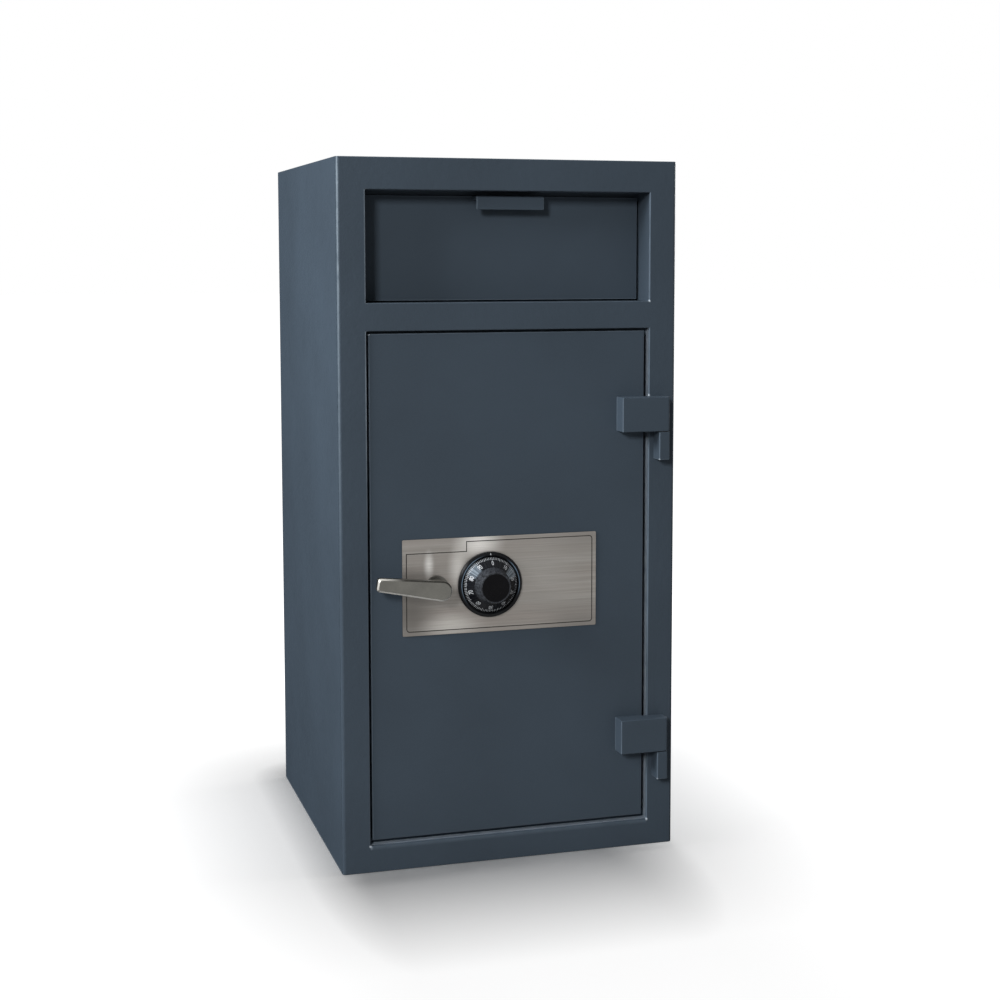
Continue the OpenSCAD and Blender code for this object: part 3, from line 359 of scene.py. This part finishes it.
def ground_corner_highlight_mask(t):
    """1 along the front frame's upright corners, lightened by ground weld and a painted highlight;
    uneven, and fading out downwards as the painted highlight does.
    """
    x, y, z = t.axes()
    inside = BODY_HALF - CORNER_BAND
    corner = t.least(t.minus(t.without_sign(x), inside), t.minus(t.times(y, -1.0), inside))
    wander = t.times(t.minus(t.noise(60.0), 0.5), 2.6 * MM)
    band = t.ramp(t.plus(corner, wander), 0.0, 1.6 * MM, smooth=True)
    return t.times(band, t.ramp(t.noise(75.0), 0.35, 0.65, 0.6, 1.0),
                   t.ramp(z, 0.4, 1.03, 0.0, 0.88))


# Materials

def enamel(t):
    """The safe's blue-grey with slow changes of tone."""
    return t.mix(t.clouds(5.0), *(rgb(*tone) for tone in ENAMEL))


def orange_peel(t):
    return t.bump(t.noise(330.0, 2.0, 0.55), 0.25 * MM, 0.28)


def grained_enamel(t):
    grain = t.ramp(t.noise(1500.0, 1.0), 0.35, 0.65, 0.0, 0.16)
    return t.mix(grain, enamel(t), rgb(*GRAIN_TONE))


def wear_and_highlight(t, mask):
    """A mask made uneven, for thin paint and painted highlights along edges."""
    return t.times(mask, t.ramp(t.noise(45.0, 3.0), 0.25, 0.6, 0.5, 0.95))


def finish_paint(t, colour, normal, glint_spots):
    """Satin enamel, with painted glints at the given spots."""
    # Painted glints at the given spots
    for place in glint_spots:
        glint_spot = t.math("MULTIPLY", t.spot(place, GLINT_REACH), GLINT_STRENGTH, clamp=True)
        colour = t.mix(glint_spot, colour, rgb(*GLINT_TONE))
    return t.finish(Base_Color=colour, Roughness=t.clouds(60.0, 0.42, 0.52), Normal=normal,
                    Specular_IOR_Level=PAINT_GLOSS)


def safe_paint(name, edges=None, glint_spots=()):
    """Enamel made lighter along the edges where the given planes meet: thin paint and a painted
    highlight.
    """
    t = Tree(name)
    colour = grained_enamel(t)
    if edges:
        # Thin paint and painted highlight along the edges
        colour = t.mix(wear_and_highlight(t, edge_mask(t, edges)), colour, rgb(*THIN_PAINT_AND_HIGHLIGHT))
    return finish_paint(t, colour, orange_peel(t), glint_spots)


def frame_paint(glint_spots):
    """Enamel of the front frame, lighter along its openings by thin paint and painted highlights,
    with painted light on its cut faces, and at its corners by ground weld and a painted highlight.
    """
    t = Tree("safe_paint_frame")
    # Painted light on the cut faces instead of thin paint
    edge_tone = t.mix(cut_face_painted_light_mask(t), rgb(*THIN_PAINT_AND_HIGHLIGHT), rgb(*CUT_FACE_PAINTED_LIGHT))
    # Openings' edges: thin paint and painted highlights
    colour = t.mix(wear_and_highlight(t, opening_mask(t)), grained_enamel(t), edge_tone)
    # Corners: ground weld and painted highlight
    colour = t.mix(ground_corner_highlight_mask(t), colour, rgb(*GROUND_CORNER_HIGHLIGHT))
    normal = t.bump(t.noise(120.0, 3.0), 0.9 * MM, 0.35, orange_peel(t))
    return finish_paint(t, colour, normal, glint_spots)


def jamb_paint():
    """The safe's enamel, with painted light on the doorway's cut faces."""
    t = Tree("jamb_paint")
    # Painted light on the doorway's cut faces
    cut_face_light = t.mix(t.clouds(70.0), rgb(*CUT_FACE_PAINTED_LIGHT), rgb(*CUT_FACE_PAINTED_LIGHT_DIM))
    cut = t.most(on_plane(t, t.axes()[0], [OPENING_HALF, -OPENING_HALF]), sill_mask(t))
    return t.finish(Base_Color=t.mix(cut, enamel(t), cut_face_light), Specular_IOR_Level=PAINT_GLOSS,
                    Roughness=t.clouds(60.0, 0.5, 0.62), Normal=orange_peel(t))


def brushed_plate(groove_y):
    """Brushed nickel with fine level grain, soft patches of painted highlight and painted shade, a
    dark line in its groove and cut edges darkened by painted shade."""
    t = Tree("brushed_plate")
    grain = t.noise(1.0, 4.0, 0.6, t.stretched(14.0, 400.0, 2600.0))
    bands = t.noise(1.0, 3.0, 0.55, t.stretched(2.2, 20.0, 260.0))
    warm = t.ramp(t.noise(1.0, 2.0, 0.5, t.stretched(5.0, 10.0, 42.0)), 0.35, 0.7, 0.0, 0.35)
    colour = t.mix(t.ramp(bands, 0.3, 0.7), rgb(130, 126, 120), rgb(153, 150, 145))
    colour = t.mix(warm, colour, rgb(142, 130, 123))
    # Painted highlights where reflections fall round the dial, painted shade below the lever and
    # towards the corners
    for place, reach, tone, share in PLATE_PAINTED_LIGHT:
        colour = t.mix(t.times(t.spot(place, reach), share), colour, rgb(*tone))
    colour = t.mix(t.ramp(grain, 0.3, 0.7, 0.0, 0.5), colour, rgb(98, 95, 91))
    groove = t.ramp(t.axes()[1], groove_y, groove_y + 0.08 * MM)
    # Painted shade: the plate's cut edges, found by their facing, are darkened
    painted_edge_shade = t.fade(t.without_sign(t.facing()[1]), 0.5, 0.6)
    dark = t.most(groove, painted_edge_shade)
    roughness = t.plus(t.ramp(grain, 0.2, 0.8, 0.38, 0.54), t.times(dark, 0.3))
    return t.finish(Base_Color=t.mix(dark, colour, rgb(36, 34, 31)), Roughness=roughness,
                    Metallic=0.45, Normal=t.bump(grain, 0.02 * MM, 0.35), Anisotropic=0.6)


def satin_metal(name, dark, light, rough, scale=220.0, peel=0.03 * MM):
    """Metal with fine uneven tone and a soft gloss, for castings and turned parts."""
    t = Tree(name)
    fine = t.noise(scale * 5, 3.0, 0.6)
    colour = t.mix(t.clouds(scale / 6), rgb(*dark), rgb(*light))
    colour = t.mix(t.ramp(fine, 0.35, 0.65, 0.0, 0.25), colour, rgb(*dark))
    return t.finish(Base_Color=colour, Roughness=t.clouds(scale, rough - 0.06, rough + 0.06),
                    Metallic=1.0, Normal=t.bump(fine, peel, 0.3))


def drawn_metal(name, dark, light, rough):
    """Metal with fine lines along X, for rods and rolled plate."""
    t = Tree(name)
    lines = t.noise(1.0, 3.0, 0.6, t.stretched(8.0, 900.0, 900.0))
    colour = t.mix(t.ramp(lines, 0.3, 0.7), rgb(*dark), rgb(*light))
    colour = t.mix(t.clouds(30.0, 0.0, 0.3), colour, rgb(*dark))
    roughness = t.ramp(lines, 0.3, 0.7, rough - 0.05, rough + 0.07)
    return t.finish(Base_Color=colour, Roughness=roughness, Metallic=1.0,
                    Normal=t.bump(lines, 0.02 * MM, 0.3))


def lever_metal(tip):
    """Dark satin casting: its bevels carry a painted reflection below, a painted highlight round
    the tip and painted shade above."""
    t = Tree("handle_satin")
    fine = t.noise(1.0, 3.0, 0.6, t.stretched(300.0, 1500.0, 1500.0))
    colour = t.mix(t.clouds(38.0), rgb(92, 91, 87), rgb(104, 103, 98))
    colour = t.mix(t.ramp(fine, 0.35, 0.65, 0.0, 0.3), colour, rgb(74, 73, 70))
    _, back, up = t.facing()
    tilted = t.fade(t.without_sign(back), 0.90, 0.97)
    in_front = t.fade(back, -0.3, -0.2)
    # Painted light on the bevels: bright reflection below and round the tip, shade above
    upper = t.mix(t.spot(tip, TIP_HIGHLIGHT_REACH), rgb(*BEVEL_PAINTED_SHADE), rgb(*BEVEL_PAINTED_REFLECTION))
    bevel = t.mix(t.ramp(up, 0.05, 0.35), rgb(*BEVEL_PAINTED_REFLECTION), upper)
    colour = t.mix(t.times(tilted, in_front), colour, bevel)
    return t.finish(Base_Color=colour, Roughness=t.clouds(220.0, 0.3, 0.42), Metallic=1.0,
                    Normal=t.bump(fine, 0.03 * MM, 0.3))


def clouded_black(t, scale, dark, light):
    """Faint clouding between two dark tones; also gives its mask."""
    cloud = t.ramp(t.noise(scale, 4.0, 0.6), 0.35, 0.7)
    return cloud, t.mix(cloud, rgb(*dark), rgb(*light))


def dusty(t, colour, tone, share):
    return t.mix(t.ramp(t.noise(2600.0, 1.0), 0.66, 0.8, 0.0, share), colour, rgb(*tone))


def gloss_black(name, dark, light, rough, scale, specular):
    """Black enamel or moulding with faint clouding and dust."""
    t = Tree(name)
    cloud, colour = clouded_black(t, scale, dark, light)
    return t.finish(Base_Color=dusty(t, colour, (92, 94, 98), 0.35),
                    Roughness=t.clouds(scale * 2, rough - 0.05, rough + 0.07),
                    Specular_IOR_Level=specular, Normal=t.bump(cloud, 0.03 * MM, 0.3))


def dial_ring_black(centre):
    """Black ring with a painted highlight along its inner edge, on the left and at the upper
    right.
    """
    t = Tree("ring_black")
    radius, angle = t.polar(centre)
    cloud, colour = clouded_black(t, 60.0, (9, 10, 12), (15, 16, 19))
    colour = dusty(t, colour, (70, 72, 76), 0.25)
    # Painted highlight along the inner edge, in the glint sectors
    edge = t.fade(nearest_plane(t, radius, [RING_INNER_R]), 0.35 * MM, 0.8 * MM)
    glint = t.times(edge, t.sectors(angle, RING_GLINTS), 0.8)
    return t.finish(Base_Color=t.mix(glint, colour, rgb(112, 131, 148)),
                    Roughness=t.ramp(cloud, 0.0, 1.0, 0.26, 0.38),
                    Specular_IOR_Level=0.1, Normal=t.bump(cloud, 0.03 * MM, 0.3))


def dial_flange_black(centre):
    """Spun black flange: hair-thin rings round the axis that stretch each highlight, and a painted
    highlight in two sectors, where its gloss is raised too.
    """
    t = Tree("dial_flange_black")
    radius, angle = t.polar(centre)
    rings = t.noise_along(t.times(radius, 4200.0), 2.0)
    fan = t.noise_along(t.times(angle, 2.2), 3.0)
    colour = t.mix(t.ramp(rings, 0.3, 0.7), rgb(10, 11, 14), rgb(20, 22, 27))
    # Painted highlight in two sectors, which also raises the gloss there
    painted_highlight = t.times(t.sectors(angle, FLANGE_PAINTED_HIGHLIGHTS), t.ramp(fan, 0.3, 0.6, 0.3, 1.0))
    colour = t.mix(t.times(painted_highlight, 0.75), colour, rgb(118, 132, 144))
    tangent = t.add("ShaderNodeTangent", direction_type="RADIAL", axis="Y").outputs[0]
    return t.finish(Base_Color=colour, Roughness=t.ramp(fan, 0.3, 0.7, 0.2, 0.36),
                    Anisotropic=0.75, Tangent=tangent,
                    Specular_IOR_Level=t.ramp(painted_highlight, 0.0, 1.0, 0.12, 0.8),
                    Normal=t.bump(rings, 0.02 * MM, 0.35))


def ink():
    """White filling of the marks and numbers, with slight wear."""
    t = Tree("dial_ink")
    whole = t.ramp(t.noise(900.0, 3.0), 0.35, 0.6)
    colour = t.mix(whole, rgb(158, 161, 165), rgb(212, 215, 218))
    return t.finish(Base_Color=colour, Roughness=t.ramp(whole, 0.0, 1.0, 0.6, 0.45))


def floor_material():
    """White sweep: its glow is lower round the body's foot, a painted shadow that is longest in
    front and to the left, and it is plain white further off and in reflections."""
    t = Tree("floor_white")
    x, y, _ = t.axes()
    past = {}
    for side, axis, sign in (("right", x, 1.0), ("left", x, -1.0),
                             ("back", y, 1.0), ("front", y, -1.0)):
        start, speed = PAINTED_SHADOW_SIDES[side]
        past[side] = t.times(t.most(t.math("MULTIPLY_ADD", axis, sign, -start), 0.0), speed)
    distance = t.length(t.plus(past["right"], past["left"]), t.plus(past["back"], past["front"]))
    # Glow lowered near the body: painted shadow
    glow = t.plus(t.ramp(distance, 0.0, 0.38, 0.08, 0.52), t.ramp(distance, 0.3, 2.6, 0.0, 0.48))
    path = t.add("ShaderNodeLightPath").outputs
    mirrored = t.math("ADD", path["Is Glossy Ray"], path["Is Transmission Ray"], clamp=True)
    return t.finish(Base_Color=(0.86, 0.86, 0.86, 1.0), Roughness=0.9, Specular_IOR_Level=0.0,
                    Emission_Color=(*WHITE, 1.0),
                    Emission_Strength=t.most(t.times(glow, path["Is Camera Ray"]), mirrored))


# Marks on the dial

def box_of(node):
    lo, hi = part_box(node)
    return Vector(lo), Vector(hi)


def mesh_piece(name, verts, faces, material, body, slot):
    mesh = bpy.data.meshes.new(name)
    mesh.from_pydata([tuple(v) for v in verts], [], faces)
    bm = bmesh.new()
    bm.from_mesh(mesh)
    bmesh.ops.recalc_face_normals(bm, faces=bm.faces)
    bm.to_mesh(mesh)
    bm.free()
    mesh.materials.append(material)
    piece = bpy.data.objects.new(name, mesh)
    bpy.context.scene.collection.objects.link(piece)
    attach(piece, body)


class DialFace:
    """Maps flat marks onto the dial. A mark is drawn with x along the rim, y away from the axis
    and z off the surface."""

    def __init__(self, centre, face_y, r0, h0, r1, h1):
        self.centre, self.face_y = centre, face_y
        self.r0, self.h0, self.slope = r0, h0, (h1 - h0) / (r1 - r0)
        self.normal = Vector((-self.slope, 1.0)).normalized()

    def at(self, turn, along, radius, off):
        """Point at an angle clockwise from the top."""
        a = turn + along / radius
        r = radius + off * self.normal.x
        h = self.h0 + (radius - self.r0) * self.slope + off * self.normal.y
        return Vector((self.centre.x + r * math.sin(a), self.face_y - h,
                       self.centre.z + r * math.cos(a)))


def add_bar(verts, faces, face, angle, half, r0, r1):
    base = len(verts)
    for off in (-INK_DEPTH, INK_DEPTH):
        for radius, along in ((r0, -half), (r0, half), (r1, half), (r1, -half)):
            verts.append(face.at(angle, along, radius, off))
    quads = ((0, 1, 2, 3), (4, 5, 6, 7), (0, 1, 5, 4), (1, 2, 6, 5), (2, 3, 7, 6), (3, 0, 4, 7))
    faces.extend(tuple(base + i for i in q) for q in quads)


def graduations(face):
    """A hundred marks round the flange, with longer ones at every fifth."""
    verts, faces = [], []
    for i in range(GRADUATIONS):
        kind = 10 if i % 10 == 0 else 5 if i % 5 == 0 else 1
        inner = SHORT_MARK_INNER_R if kind == 1 else LONG_MARK_INNER_R
        angle = DIAL_TURN + math.tau * i / GRADUATIONS
        add_bar(verts, faces, face, angle, MARK_HALF[kind], inner, MARK_OUTER_R)
    return verts, faces


def number_marks(face):
    """The tens, 0 to 90, with their heads outwards."""
    scale = NUMBER_H / FONT_CAPITAL_H
    verts, faces = [], []
    for i in range(10):
        curve = bpy.data.curves.new("number", "FONT")
        curve.body = str(10 * i)
        curve.align_x, curve.align_y = "CENTER", "CENTER"
        curve.size, curve.extrude, curve.offset = 1.0, 1.0, 0.004
        curve.resolution_u = 4
        curve.space_character = 0.94
        holder = bpy.data.objects.new("number", curve)
        mesh = bpy.data.meshes.new_from_object(holder)
        angle, base = DIAL_TURN + math.tau * i / 10, len(verts)
        for vert in mesh.vertices:
            along, out, off = vert.co.x * scale, vert.co.y * scale, vert.co.z * INK_DEPTH
            verts.append(face.at(angle, along * NUMBER_NARROWING, NUMBER_R + out, off))
        faces.extend(tuple(base + k for k in p.vertices) for p in mesh.polygons)
        bpy.data.objects.remove(holder)
        bpy.data.curves.remove(curve)
        bpy.data.meshes.remove(mesh)
    return verts, faces


def dial_marks(material):
    """Adds the marks and returns the dial's centre."""
    lo, hi = box_of("dial_ring")
    centre, face_y = (lo + hi) / 2, hi.y
    cone = DialFace(centre, face_y, CONE_RIM_R, CONE_RIM_H, CONE_HUB_R, CONE_HUB_H)
    rim = DialFace(centre, face_y, RING_INNER_R, RING_INNER_H, RING_OUTER_R, RING_OUTER_H)
    mesh_piece("dial_graduations", *graduations(cone), material, "dial", "dial_ink")
    mesh_piece("dial_numbers", *number_marks(cone), material, "dial", "dial_ink")
    verts, faces = [], []
    add_bar(verts, faces, rim, 0.0, INDEX_HALF, INDEX_INNER_R, INDEX_OUTER_R)
    mesh_piece("ring_index", verts, faces, material, "door", "dial_ink")
    return centre


# CAD nodes

PAINTED = [
    "left_side_panel", "right_side_panel", "top_panel", "base_panel", "back_panel",
    "door_stops", "recess_sides", "recess_ceiling", "recess_sill",
    "fishing_baffle", "hopper_stops", "bolt_guide", "boltwork_cover",
    "hopper_cheeks", "hopper_tray"]
DRAWN_STEEL = [
    "dial_spindle", "handle_spindle", "hopper_pivot_rod", "hinge_pins", "guide_studs",
    "cover_posts"]
MACHINED_STEEL = [
    "hard_plate", "bolt_carrier", "handle_cam", "lock_lever", "bushing_nut", "rod_clips",
    "lock_screws"]
BLACK_STEEL = [
    "bolt_screws", "cover_screws", "cam_screw", "handle_set_screw", "hinge_washers",
    "hopper_spacers", "dead_bar"]
BRASS = [
    "spindle_tube", "wheel_post", "wheel_spacers", "drive_cam", "wheel_1", "wheel_2", "wheel_3",
    "lock_bolt"]
SOFTENED = {
    "front_frame": 1.4 * MM, "door_plate": 1.4 * MM, "hinge_blocks": 1.2 * MM,
    "hinge_knuckles": 1.0 * MM, "pull_lip": 1.2 * MM, "hopper_door": 1.0 * MM,
    "back_panel": 0.8 * MM}


def dress(names, material):
    for name in names:
        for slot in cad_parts[name].material_slots:
            slot.material = material


def soften(name, width):
    """Rounds a node's sharp edges slightly, as paint and grinding leave them."""
    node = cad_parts[name]
    weld = node.modifiers.new("join_faces", "WELD")
    weld.merge_threshold = 0.002 * MM
    bevel = node.modifiers.new("soft_edges", "BEVEL")
    bevel.width = width
    bevel.segments = 2
    bevel.limit_method = "ANGLE"
    bevel.angle_limit = math.radians(40)
    bevel.use_clamp_overlap = False
    bevel.harden_normals = True


def knuckle_feet():
    """Heights of the lower ends of the lower and the upper hinge knuckle."""
    lo, hi = box_of("hinge_knuckles")
    heights = [v.co.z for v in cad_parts["hinge_knuckles"].data.vertices]
    return lo.z, min(z for z in heights if z > (lo.z + hi.z) / 2)


def painted_glint_spots():
    """Small bright spots of painted glint: the doorway's lower corners, its edge above the upper
    hinge block, the recess's lower right corner, the door's upper left one and the knuckles' lower
    corners."""
    corner, foot = OPENING_HALF + 0.3 * MM, DOORWAY_Z[0] - 0.8 * MM
    block_top = box_of("hinge_blocks")[1].z
    knuckle = box_of("hinge_knuckles")[0]
    door_lo, door_hi = box_of("door_plate")
    return {
        "front_frame": [(-corner, FRONT_Y, foot), (corner, FRONT_Y, foot),
                        (OPENING_HALF, FRONT_Y + 2 * MM, block_top + MM),
                        (OPENING_HALF, FRONT_Y + 2 * MM, RECESS_Z[0])],
        "door_plate": [(door_lo.x, door_lo.y, door_hi.z)],
        "hinge_knuckles": [(knuckle.x, knuckle.y, z) for z in knuckle_feet()]}


def paint_edges():
    """The planes along X, Y and Z whose meeting lines are the edges of painted pieces lightened by
    thin paint and painted highlights; on the hinge blocks and knuckles only the left edges, which
    face the light, and the knuckles' feet.
    """
    boxes = {name: box_of(name) for name in
             ("door_plate", "hopper_door", "pull_lip", "hinge_blocks", "hinge_knuckles")}
    door_y = boxes["door_plate"][0].y
    planes = {name: ((lo.x, hi.x), (lo.y,), (lo.z, hi.z)) for name, (lo, hi) in boxes.items()}
    lo, hi = boxes["pull_lip"]
    planes["pull_lip"] = (lo.x, hi.x), (lo.y,), ()
    lo, _ = boxes["hinge_blocks"]
    planes["hinge_blocks"] = (lo.x,), (lo.y, door_y - EDGE_BAND), ()
    lo, _ = boxes["hinge_knuckles"]
    planes["hinge_knuckles"] = (lo.x,), (lo.y,), knuckle_feet()
    return planes


def dress_nodes(dial_centre):
    glint_spots = painted_glint_spots()
    dress(PAINTED, safe_paint("safe_paint"))
    dress(["front_frame"], frame_paint(glint_spots["front_frame"]))
    dress(["door_jamb"], jamb_paint())
    for name, planes in paint_edges().items():
        dress([name], safe_paint("safe_paint_" + name, planes, glint_spots.get(name, ())))

    plate_y = box_of("dial_ring")[1].y
    dress(["escutcheon_plate"], brushed_plate(plate_y + GROOVE_STEP))
    lo, hi = box_of("handle_lever")
    dress(["handle_lever"], lever_metal((lo.x, lo.y, hi.z)))
    dress(["handle_bushing"], satin_metal("bushing_satin", (78, 77, 73), (104, 102, 98), 0.34))
    dress(["dial_ring"], dial_ring_black(dial_centre))
    dress(["number_dial"], dial_flange_black(dial_centre))
    dress(["dial_knob"],
          gloss_black("knob_black", (16, 17, 20), (71, 74, 79), 0.42, 330.0, 0.14))
    dress(["dial_cap"], gloss_black("cap_black", (4, 4, 6), (9, 9, 11), 0.3, 40.0, 0.06))

    dress(DRAWN_STEEL, drawn_metal("drawn_steel", (128, 127, 124), (158, 157, 154), 0.34))
    dress(MACHINED_STEEL, satin_metal("machined_steel", (118, 117, 114), (150, 149, 145), 0.38))
    dress(["locking_bolts"], drawn_metal("bolt_chrome", (140, 141, 143), (168, 169, 171), 0.25))
    dress(BLACK_STEEL, satin_metal("black_steel", (34, 34, 35), (56, 56, 57), 0.45))
    dress(BRASS, satin_metal("brass", (168, 138, 84), (196, 167, 108), 0.34))
    dress(["lock_case", "lock_cover"],
          satin_metal("lock_alloy", (120, 120, 121), (148, 148, 150), 0.5, 160.0, 0.08 * MM))
    for name, width in SOFTENED.items():
        soften(name, width)


# Surroundings

def area_light(name, place, aim, size, power, colour):
    light = bpy.data.lights.new(name, "AREA")
    light.shape = "SQUARE"
    light.size = size
    light.energy = power
    light.color = colour
    lamp = bpy.data.objects.new(name, light)
    bpy.context.scene.collection.objects.link(lamp)
    lamp.location = place
    lamp.rotation_euler = (Vector(aim) - Vector(place)).to_track_quat("-Z", "Y").to_euler()
    return lamp


def flat_mesh(name, corners, faces, material):
    mesh = bpy.data.meshes.new(name)
    mesh.from_pydata(corners, [], faces)
    mesh.materials.append(material)
    flat = bpy.data.objects.new(name, mesh)
    bpy.context.scene.collection.objects.link(flat)
    return flat


def dark_card(name, side):
    """Dark studio card behind the body that only glossy reflections show, so that a side seen at a
    low angle keeps its colour: a wall and a strip of floor up to the body."""
    near, far, back, front, foot, top = BODY_HALF, 3.4, 1.7, -0.6, 2 * MM, 3.2
    corners = [(near, front, foot), (far, front, foot), (far, back, foot), (near, back, foot),
               (far, back, top), (near, back, top)]
    black = Tree(name).finish(Base_Color=rgb(18, 21, 26), Roughness=1.0, Specular_IOR_Level=0.0)
    card = flat_mesh(name, [(side * x, y, z) for x, y, z in corners],
                     [(0, 1, 2, 3), (3, 2, 4, 5)], black)
    card.visible_camera = card.visible_diffuse = card.visible_shadow = False
    card.visible_transmission = card.visible_volume_scatter = False


def white_world():
    """White to the camera and in reflections, and a low even light."""
    world = bpy.data.worlds.new("studio")
    bpy.context.scene.world = world
    world.use_nodes = True
    nodes, links = world.node_tree.nodes, world.node_tree.links
    path = nodes.new("ShaderNodeLightPath")
    seen = path.outputs["Is Camera Ray"]
    for other in ("Is Glossy Ray", "Is Transmission Ray"):
        plus = nodes.new("ShaderNodeMath")
        plus.operation, plus.use_clamp = "ADD", True
        links.new(seen, plus.inputs[0])
        links.new(path.outputs[other], plus.inputs[1])
        seen = plus.outputs[0]
    level = nodes.new("ShaderNodeMapRange")
    level.inputs["To Min"].default_value = WORLD_LEVEL
    level.inputs["To Max"].default_value = 1.0
    links.new(seen, level.inputs["Value"])
    links.new(level.outputs[0], nodes["Background"].inputs["Strength"])
    nodes["Background"].inputs["Color"].default_value = (*WHITE, 1.0)


def studio():
    r = FLOOR_REACH
    floor = flat_mesh("floor", [(-r, -r, 0), (r, -r, 0), (r, r, 0), (-r, r, 0)],
                      [(0, 1, 2, 3)], floor_material())
    dark_card("dark_card_left", -1)
    dark_card("dark_card_right", 1)

    # The side lamps leave the floor and the top panel to the overhead lamp
    lamps = [area_light(name, *values) for name, values in SIDE_LAMPS.items()]
    area_light("overhead", *OVERHEAD_LAMP)
    unlit = bpy.data.collections.new("not_lit_by_side_lamps")
    for level_face in (floor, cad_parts["top_panel"]):
        unlit.objects.link(level_face)
    for lamp in lamps:
        lamp.light_linking.receiver_collection = unlit
    for entry in unlit.collection_objects:
        entry.light_linking.link_state = "EXCLUDE"
    white_world()


def camera():
    data = bpy.data.cameras.new("camera")
    data.lens, data.sensor_width = CAMERA_LENS, CAMERA_SENSOR
    data.shift_x, data.shift_y = CAMERA_SHIFT
    data.clip_start, data.clip_end = 0.1, 200.0
    cam = bpy.data.objects.new("camera", data)
    bpy.context.scene.collection.objects.link(cam)
    cam.location = CAMERA_PLACE
    cam.rotation_euler = (math.pi / 2 + CAMERA_PITCH, 0.0, -CAMERA_YAW)
    bpy.context.scene.camera = cam


dress_nodes(dial_marks(ink()))
studio()
camera()
bpy.context.scene.view_settings.view_transform = "Standard"
